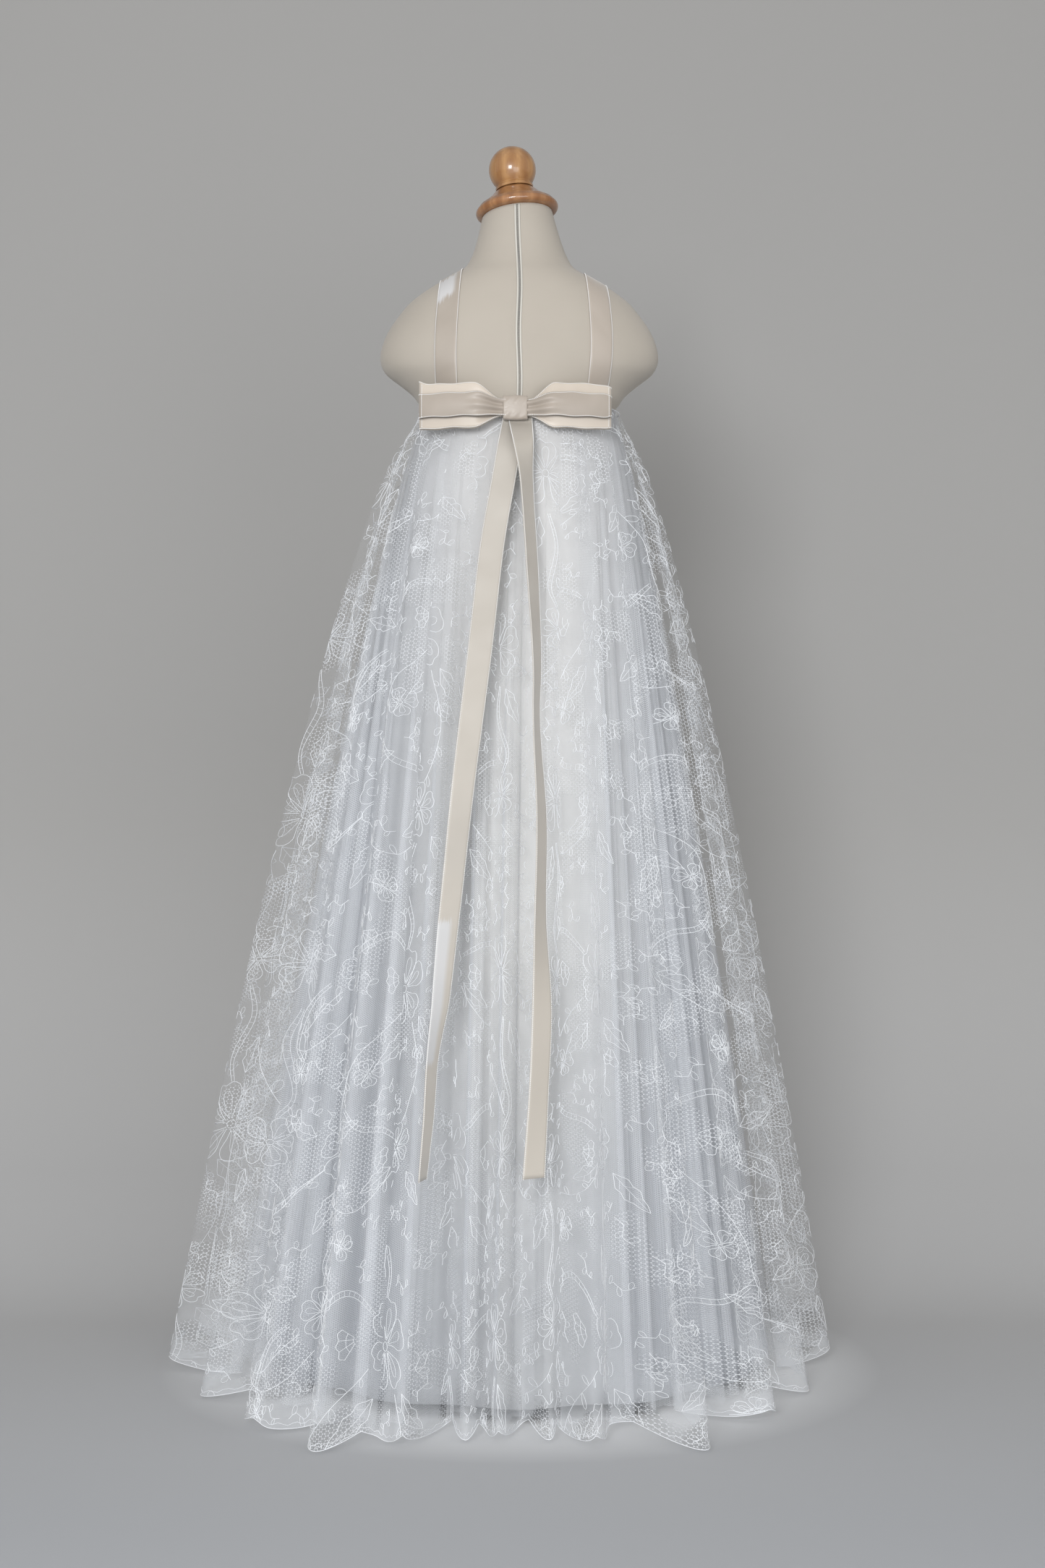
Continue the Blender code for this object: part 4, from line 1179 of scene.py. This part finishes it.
def bodice_piece(look):
    rows = []
    for n in range(BODICE_ROWS + 1):
        up = 1 - n / BODICE_ROWS
        row = []
        for j in range(BODICE_COLUMNS + 1):
            side = 1 - 2 * j / BODICE_COLUMNS
            neck = min(abs(side) * BODICE_TOP_HALF_WIDTH / BODICE_NECK_HALF_WIDTH, 1)
            top = BODICE_TOP - BODICE_NECK_DIP * (1 + math.cos(math.pi * neck)) / 2
            height = STRAP_FOOT + (top - STRAP_FOOT) * up
            half_width, half_depth, _ = torso_size(height)
            edge_angle = math.degrees(math.asin(BODICE_TOP_HALF_WIDTH / half_width))
            reach = BODICE_WAIST_ANGLE + (edge_angle - BODICE_WAIST_ANGLE) * math.sin(math.pi * up / 2)
            turn = math.radians(side * reach)
            clear = BODICE_CLEAR_OF_FORM
            row.append(((half_width + clear) * math.sin(turn), (half_depth + clear) * math.cos(turn), height))
        rows.append(row)
    grid = np.array(rows)
    across = np.linspace(0, BODICE_CLOTH_WIDTH, BODICE_COLUMNS + 1)
    down = np.linspace(0, BODICE_CLOTH_DEPTH, BODICE_ROWS + 1)
    piece = cloth_piece("bodice_front_panel", grid, look, np.stack(np.meshgrid(across, down), -1))
    return give_wall(piece, BODICE_WALL), grid


def loop_grid(side, width, layer):
    """A flattened bow loop with pleats that fan out from the knot."""
    end = BOW_REACH - LOOP_OPENING / 2
    flat = np.linspace(LOOP_START, end, LOOP_POINTS)
    turns = np.pi * np.arange(1, LOOP_END_STEPS) / LOOP_END_STEPS
    path = [(out, 0.0) for out in flat]
    path += [(end + LOOP_OPENING / 2 * math.sin(turn), (1 - math.cos(turn)) / 2) for turn in turns]
    path += [(out, 1.0) for out in flat[::-1]]
    back = KNOT_BACK - RIBBON_WALL * 1.5 - SEAM_GAP * 1.5 - layer * LAYER_PITCH
    across = np.linspace(1, -1, 2 * LOOP_MIDDLE + 1)
    rows = []
    for out, front in path:
        opened = min(max((out - LOOP_NECK_END) / LOOP_OPENS_OVER, 0), 1)
        opened = opened * opened * (3 - 2 * opened)
        half = LOOP_NECK / 2 + (width - LOOP_NECK) / 2 * opened
        pleat = PLEAT_DEPTH * math.exp(-(((out - PLEAT_PLACE) / PLEAT_REACH) ** 2))
        depth = (LAYER_PITCH + LOOP_OPENING * opened) * front
        if layer > 0:
            depth += LOOP_OPENING * opened + pleat
        wrap = BOW_WRAP * (max(out - KNOT_SIZE / 2, 0) / (BOW_REACH - KNOT_SIZE / 2)) ** 2
        crown = LOOP_CROWN * opened * front * (1 - across**2)
        folds = pleat * round(front) * np.sin(across * 7.0 + side)
        far = max(out / end - LOOP_TIP, 0) / (1 - LOOP_TIP)
        half -= RIGHT_TIP_NARROWING * far**3 * (side > 0)
        flick = LEFT_TIP_FLICK * far**2 * np.maximum(across - 0.6, 0) / 0.4 * (side < 0 and layer == 0)
        frill = LOOP_FRILL * across * np.sin(out * 210 + side + layer) * opened
        x = np.full(len(across), BOW_CENTRE_X + side * out)
        y = back + wrap - depth + folds - crown
        z = KNOT_HEIGHT + (BOW_HEIGHT - KNOT_HEIGHT) * opened + half * across + flick + frill
        rows.append(np.stack((x, y, z), -1))
    return np.array(rows)


def bow_pieces(looks):
    made, edge_paths = [], []
    for side, word in ((-1, "left"), (1, "right")):
        for name, node, width, layer in (("wide", "back", BACK_LOOP_WIDTH, 0), ("narrow", "front", RIBBON_WIDTH, 2)):
            grid = loop_grid(side, width, layer)[:, ::-side]
            across = np.linspace(0, width, grid.shape[1])
            uv = np.stack(np.meshgrid(across, lengths_along(grid[:, LOOP_MIDDLE])), -1)
            piece = cloth_piece(f"bow_{name}_{word}", grid, looks[f"bow_{name}"], uv)
            give_wall(piece, RIBBON_CLOTH)
            made.append(stands_for(piece, f"bow_{node}_{word}"))
            front = grid[len(grid) // 2 :]
            edge_paths += edge_lines(front, -PICOT_LIFT)
            edge_paths.append(front[4, 1:-1] + np.array((0, -PICOT_LIFT, 0)))
    return made, edge_paths


def knot_piece(look):
    half = KNOT_SIZE / 2
    rows = []
    for n in range(KNOT_ROWS + 1):
        share = n / KNOT_ROWS
        bulge = KNOT_BULGE * math.sin(math.pi * share)
        ring = []
        for m in range(KNOT_SIDES):
            turn = 2 * math.pi * m / KNOT_SIDES
            c, s = (math.copysign(abs(way) ** KNOT_SQUARENESS, way) for way in (math.cos(turn), math.sin(turn)))
            y = KNOT_BACK - KNOT_DEPTH / 2 + c * (KNOT_DEPTH / 2 - 0.0005 + bulge)
            z = KNOT_HEIGHT + s * (half - 0.0006 + bulge)
            x = BOW_CENTRE_X + half - KNOT_SIZE * share
            ring.append((x, y + KNOT_CREASE * math.sin(share * 17 + z * 600), z))
        rows.append(ring)
    flat = np.meshgrid(np.linspace(0, KNOT_CLOTH, KNOT_SIDES), np.linspace(0, KNOT_SIZE, KNOT_ROWS + 1))
    piece = cloth_piece("bow_knot_wrap", np.array(rows), look, np.stack(flat[::-1], -1), wraps=True)
    return give_wall(piece, KNOT_WALL, -1)


# Dress form


def lean(share):
    return np.array(Matrix.Rotation(CAP_ROLL * share, 3, "Y") @ Matrix.Rotation(CAP_PITCH * share, 3, "X"))


def torso_piece(look):
    spans = ((0.600, 0.606, 3), (0.612, 0.905, 40), (0.909, TORSO[-1, 0], 74))
    heights = np.concatenate([np.linspace(*span) for span in spans])[::-1]
    sides = TORSO_SIDES
    turn = 2 * np.pi * np.arange(sides) / sides
    rings = []
    for height in heights:
        half_width, half_depth, share = torso_size(height)
        flat = np.stack((half_width * np.sin(turn), -half_depth * np.cos(turn), np.zeros(sides)), -1)
        rings.append(np.array((CAP_CENTRE.x * share, 0, height)) + flat @ lean(share).T)
    grid = np.array(rings)
    uv = np.stack(np.meshgrid(turn * TORSO_CLOTH_RADIUS, LAYER_TOP - heights), -1)
    faces = grid_faces(len(grid), sides, wraps=True)
    last = (len(grid) - 1) * sides
    faces += [list(range(sides)), [last + n for n in reversed(range(sides))]]
    return mesh_piece("form_cover_cloth", grid.reshape(-1, 3), faces, look, uv.reshape(-1, 2))


def turned_piece(name, profile, look, steps=72):
    """A turned piece of wood from its profile of distances out and up, set on the neck."""
    mesh = bpy.data.meshes.new(name)
    mesh.from_pydata([(x, 0, z) for x, z in profile], [(n, n + 1) for n in range(len(profile) - 1)], [])
    mesh.materials.append(look)
    piece = linked(name, mesh)
    screw = piece.modifiers.new("turning", "SCREW")
    screw.steps = screw.render_steps = steps
    screw.use_merge_vertices = True
    screw.merge_threshold = 0.00001
    settle(piece)
    piece.data.transform(Matrix.Translation(CAP_CENTRE) @ Matrix(lean(1).tolist()).to_4x4())
    piece.data.shade_smooth()
    piece.data.set_sharp_from_angle(angle=math.radians(50))
    return piece


def arc(centre_x, centre_z, radius, start, end, steps):
    angles = np.radians(np.linspace(start, end, steps + 1))
    return [(centre_x + radius * math.cos(a), centre_z + radius * math.sin(a)) for a in angles]


def profile_through(points, steps=6):
    at = np.linspace(0, len(points) - 1, (len(points) - 1) * steps + 1)
    return [tuple(point) for point in smooth_rows(np.arange(len(points)), np.array(points), at)]


def cap_pieces(looks):
    profile = [(0, CAP_TOP), (CAP_TOP_RADIUS, CAP_TOP), *profile_through(CAP_OGEE)]
    profile += arc(CAP_RADIUS - CAP_RIM, CAP_RIM_HEIGHT, CAP_RIM, 60, -70, 16)
    profile += [(CAP_UNDERSIDE_RADIUS, CAP_UNDERSIDE), (0, CAP_UNDERSIDE)]
    cap = stands_for(turned_piece("cap_flange", profile, looks["flange"]), "form_cap")
    meets = math.degrees(math.acos(BALL_FOOT_RADIUS / BALL_RADIUS))
    profile = [(0, BALL_HEIGHT + BALL_RADIUS), *arc(0, BALL_HEIGHT, BALL_RADIUS, 86, -meets, 40)]
    profile += profile_through(BALL_NECK, 4)
    profile += [(COLLAR_RADIUS, CAP_TOP + SEAM_GAP), (0, CAP_TOP + SEAM_GAP)]
    return [cap, stands_for(turned_piece("cap_ball", profile, looks["wood"]), "form_finial")]


def back_line(heights, across, lift):
    """Points on the back of the form, a distance across from its middle and lifted off it."""
    points = []
    for height in heights:
        half_width, half_depth, share = torso_size(height)
        turn = math.asin(across / half_width)
        flat = np.array(((half_width + lift) * math.sin(turn), -(half_depth + lift) * math.cos(turn), 0))
        points.append(np.array((CAP_CENTRE.x * share, 0, height)) + lean(share) @ flat)
    return np.array(points)


def tube_piece(name, paths, radius, look, sides=8):
    """Round cords along paths of points that climb."""
    points, faces = [], []
    for path in paths:
        along = unit(np.gradient(path, axis=0))
        side = unit(np.cross(along, (0.0, -1.0, 0.0)))
        up = np.cross(side, along)
        first = len(points)
        for middle, s, u in zip(path, side, up):
            for n in range(sides):
                turn = 2 * math.pi * n / sides
                points.append(middle + radius * (s * math.cos(turn) + u * math.sin(turn)))
        for a in range(first, len(points) - sides, sides):
            for m in range(sides):
                k = (m + 1) % sides
                faces.append((a + m, a + sides + m, a + sides + k, a + k))
        faces += [range(first, first + sides), range(len(points) - 1, len(points) - sides - 1, -1)]
    return mesh_piece(name, points, faces, look)


def zip_pieces(looks, tree):
    heights = np.linspace(LAYER_TOP + 0.001, ZIP_TOP, 90)
    left, right = (back_line(heights, across, PIPING_LIFT) for across in (-PIPING_ACROSS, PIPING_ACROSS))
    middle = back_line(heights, 0.0, COIL_LIFT)
    for line in (left, right, middle):
        line[:, 0] += ZIP_WANDER * np.sin(heights * 70)
    piping = tube_piece("zip_piping", (left, right), PIPING_RADIUS, looks["piping"])
    coil = stitched("zip_coil_teeth", (middle,), tree, looks["zip"], 0.0012, 0.0008, 0.0022)
    return [piping, coil]


# Room


def backdrop_finish():
    """Grey paper, lighter on the floor, with painted light: the floor lighter towards the wall and a painted pool of
    light under the skirt; clear from behind.
    """
    finish = Finish("backdrop_paper")
    where = finish.place()
    height = finish.part(where, "Z")
    wall = finish.blend(finish.ramp(height, 0.3, 1.5), (0.420, 0.416, 0.408), (0.395, 0.390, 0.382))
    # Painted light: the floor is made lighter towards the wall, where less lamp light reaches it.
    back = finish.ramp(finish.part(where, "Y"), -0.5, 0.15)
    floor = finish.blend(back, (0.452, 0.466, 0.488), (0.510, 0.513, 0.518))
    # Painted light: a bright pool painted on the floor under the skirt, where the skirt's shadow falls.
    from_middle = finish.node("VectorMath", {0: where}, "Value", operation="LENGTH")
    floor = finish.blend(finish.ramp(from_middle, 0.22, 0.34), (0.80, 0.81, 0.82), floor)
    cove = finish.blend(finish.ramp(height, 0.0, 0.10), floor, (0.455, 0.456, 0.458))
    colour = finish.blend(finish.ramp(height, 0.10, 0.50), cove, wall)
    mottled = finish.ramp(finish.noise(finish.place(2, 2, 2)), 0.2, 0.8, 0.0, 0.03)
    backface = finish.node("NewGeometry", out="Backfacing")
    clear = finish.node("BsdfTransparent")
    finish.show(finish.node("MixShader", {0: backface, 1: finish.shader.outputs[0], 2: clear}))
    colour = finish.blend(mottled, colour, (0.30, 0.30, 0.30))
    return finish.set(Base_Color=colour, Roughness=0.9, Specular_IOR_Level=0.1)


def room():
    """A pale floor that curves up into a plain wall close behind, and two soft lamps."""
    profile = [(-ROOM_REACH, 0.0), (WALL_BACK - COVE_RADIUS, 0.0)]
    for turn in math.pi / 2 * np.arange(1, 17) / 16:
        profile.append((WALL_BACK - COVE_RADIUS * (1 - math.sin(turn)), COVE_RADIUS * (1 - math.cos(turn))))
    profile.append((WALL_BACK, WALL_TOP))
    grid = np.array([[(x, y, z) for x in (ROOM_REACH, -ROOM_REACH)] for y, z in profile])
    paper = cloth_piece("backdrop", grid, backdrop_finish())

    world = bpy.data.worlds.new("studio")
    world.use_nodes = True
    bpy.context.scene.world = world
    background = world.node_tree.nodes["Background"]
    background.inputs["Color"].default_value = (1.0, 0.985, 0.965, 1.0)
    background.inputs["Strength"].default_value = 0.60
    for name, place, aim, size, power in LAMPS:
        lamp = bpy.data.lights.new(name, "AREA")
        lamp.size = size
        lamp.energy = power
        lamp.color = (0.975, 0.985, 1.0)
        holder = linked(name, lamp)
        holder.location = place
        holder.rotation_euler = (Vector(aim) - Vector(place)).to_track_quat("-Z", "Y").to_euler()


def camera():
    lens = bpy.data.cameras.new("camera")
    lens.lens = CAMERA_LENS
    lens.sensor_width = 36
    holder = linked("camera", lens)
    holder.location = CAMERA_PLACE
    holder.rotation_euler = (math.pi / 2, 0, 0)
    scene = bpy.context.scene
    scene.camera = holder
    scene.view_settings.view_transform = "Standard"
    scene.cycles.transparent_max_bounces = 16
    scene.cycles.max_bounces = 3
    scene.cycles.diffuse_bounces = 2


def main():
    camera()
    room()
    looks = {
        "ground": lace_ground_finish(),
        "cord": cord_finish(),
        "net": net_finish(),
        "lining": lining_finish(),
        "stitch": stitch_finish("picot_thread", (0.95, 0.95, 0.94)),
        "form": form_finish(),
        "piping": stitch_finish("piping_cord", (0.66, 0.64, 0.58)),
        "zip": zip_finish(),
        "wood": wood_finish("honey_wood", (0.33, 0.155, 0.050), (0.46, 0.245, 0.092), (0.24, 0.100, 0.032)),
        # The flange wood is darker and redder than the ball's: partly its own tone, partly painted shade for its
        # shadowed underside.
        "flange": wood_finish("flange_wood_with_painted_shade", (0.30, 0.125, 0.042), (0.42, 0.200, 0.078), (0.20, 0.080, 0.026)),
        "steel": steel_finish(),
    }
    for use, *satin in SATINS:
        looks[use] = satin_finish(*satin)
    tree = stitch_tree()
    skirt = skirt_pieces(looks)
    left_rows = tail_rows(LEFT_TAIL, 0, [])
    ribbons, edge_paths = {}, []
    for name, rows, look in (
        ("tail_left", left_rows, "tail_left"),
        ("tail_right", tail_rows(RIGHT_TAIL, 1, left_rows), "tail"),
        ("strap_left", strap_rows(LEFT_STRAP), "strap_left"),
        ("strap_right", strap_rows(RIGHT_STRAP), "strap"),
    ):
        ribbons[name], grid = ribbon_piece(f"{name}_ribbon", rows, looks[look])
        stands_for(ribbons[name], name)
        edge_paths += edge_lines(grid, PICOT_LIFT)
    bodice, bodice_grid = bodice_piece(looks["strap"])
    stands_for(bodice, "bodice_front")
    bow, bow_edges = bow_pieces(looks)
    knot = stands_for(knot_piece(looks["bow_narrow"]), "bow_knot")
    edge_paths += [*bow_edges, bodice_grid[0]]
    picots = stitched("ribbon_picots", edge_paths, tree, looks["stitch"], 0.0016, 0.0013, 0.0009)
    torso = stands_for(torso_piece(looks["form"]), "form_torso")

    pieces = [*skirt["back"], *skirt["front"], *ribbons.values(), bodice, *bow, knot, picots]
    for piece in (*pieces, torso, *cap_pieces(looks), *zip_pieces(looks, tree)):
        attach(piece, "root")
    for node, look in (("form_base", "wood"), ("form_pole", "steel")):
        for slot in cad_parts[node].material_slots:
            slot.material = looks[look]
    return skirt, ribbons, bodice, bow, knot, picots


skirt, ribbons, bodice, bow, knot, picots = main()
lace, cords, net, lining = skirt["back"]
lace, cords, net, lining = skirt["front"]
wide_left, narrow_left, wide_right, narrow_right = bow
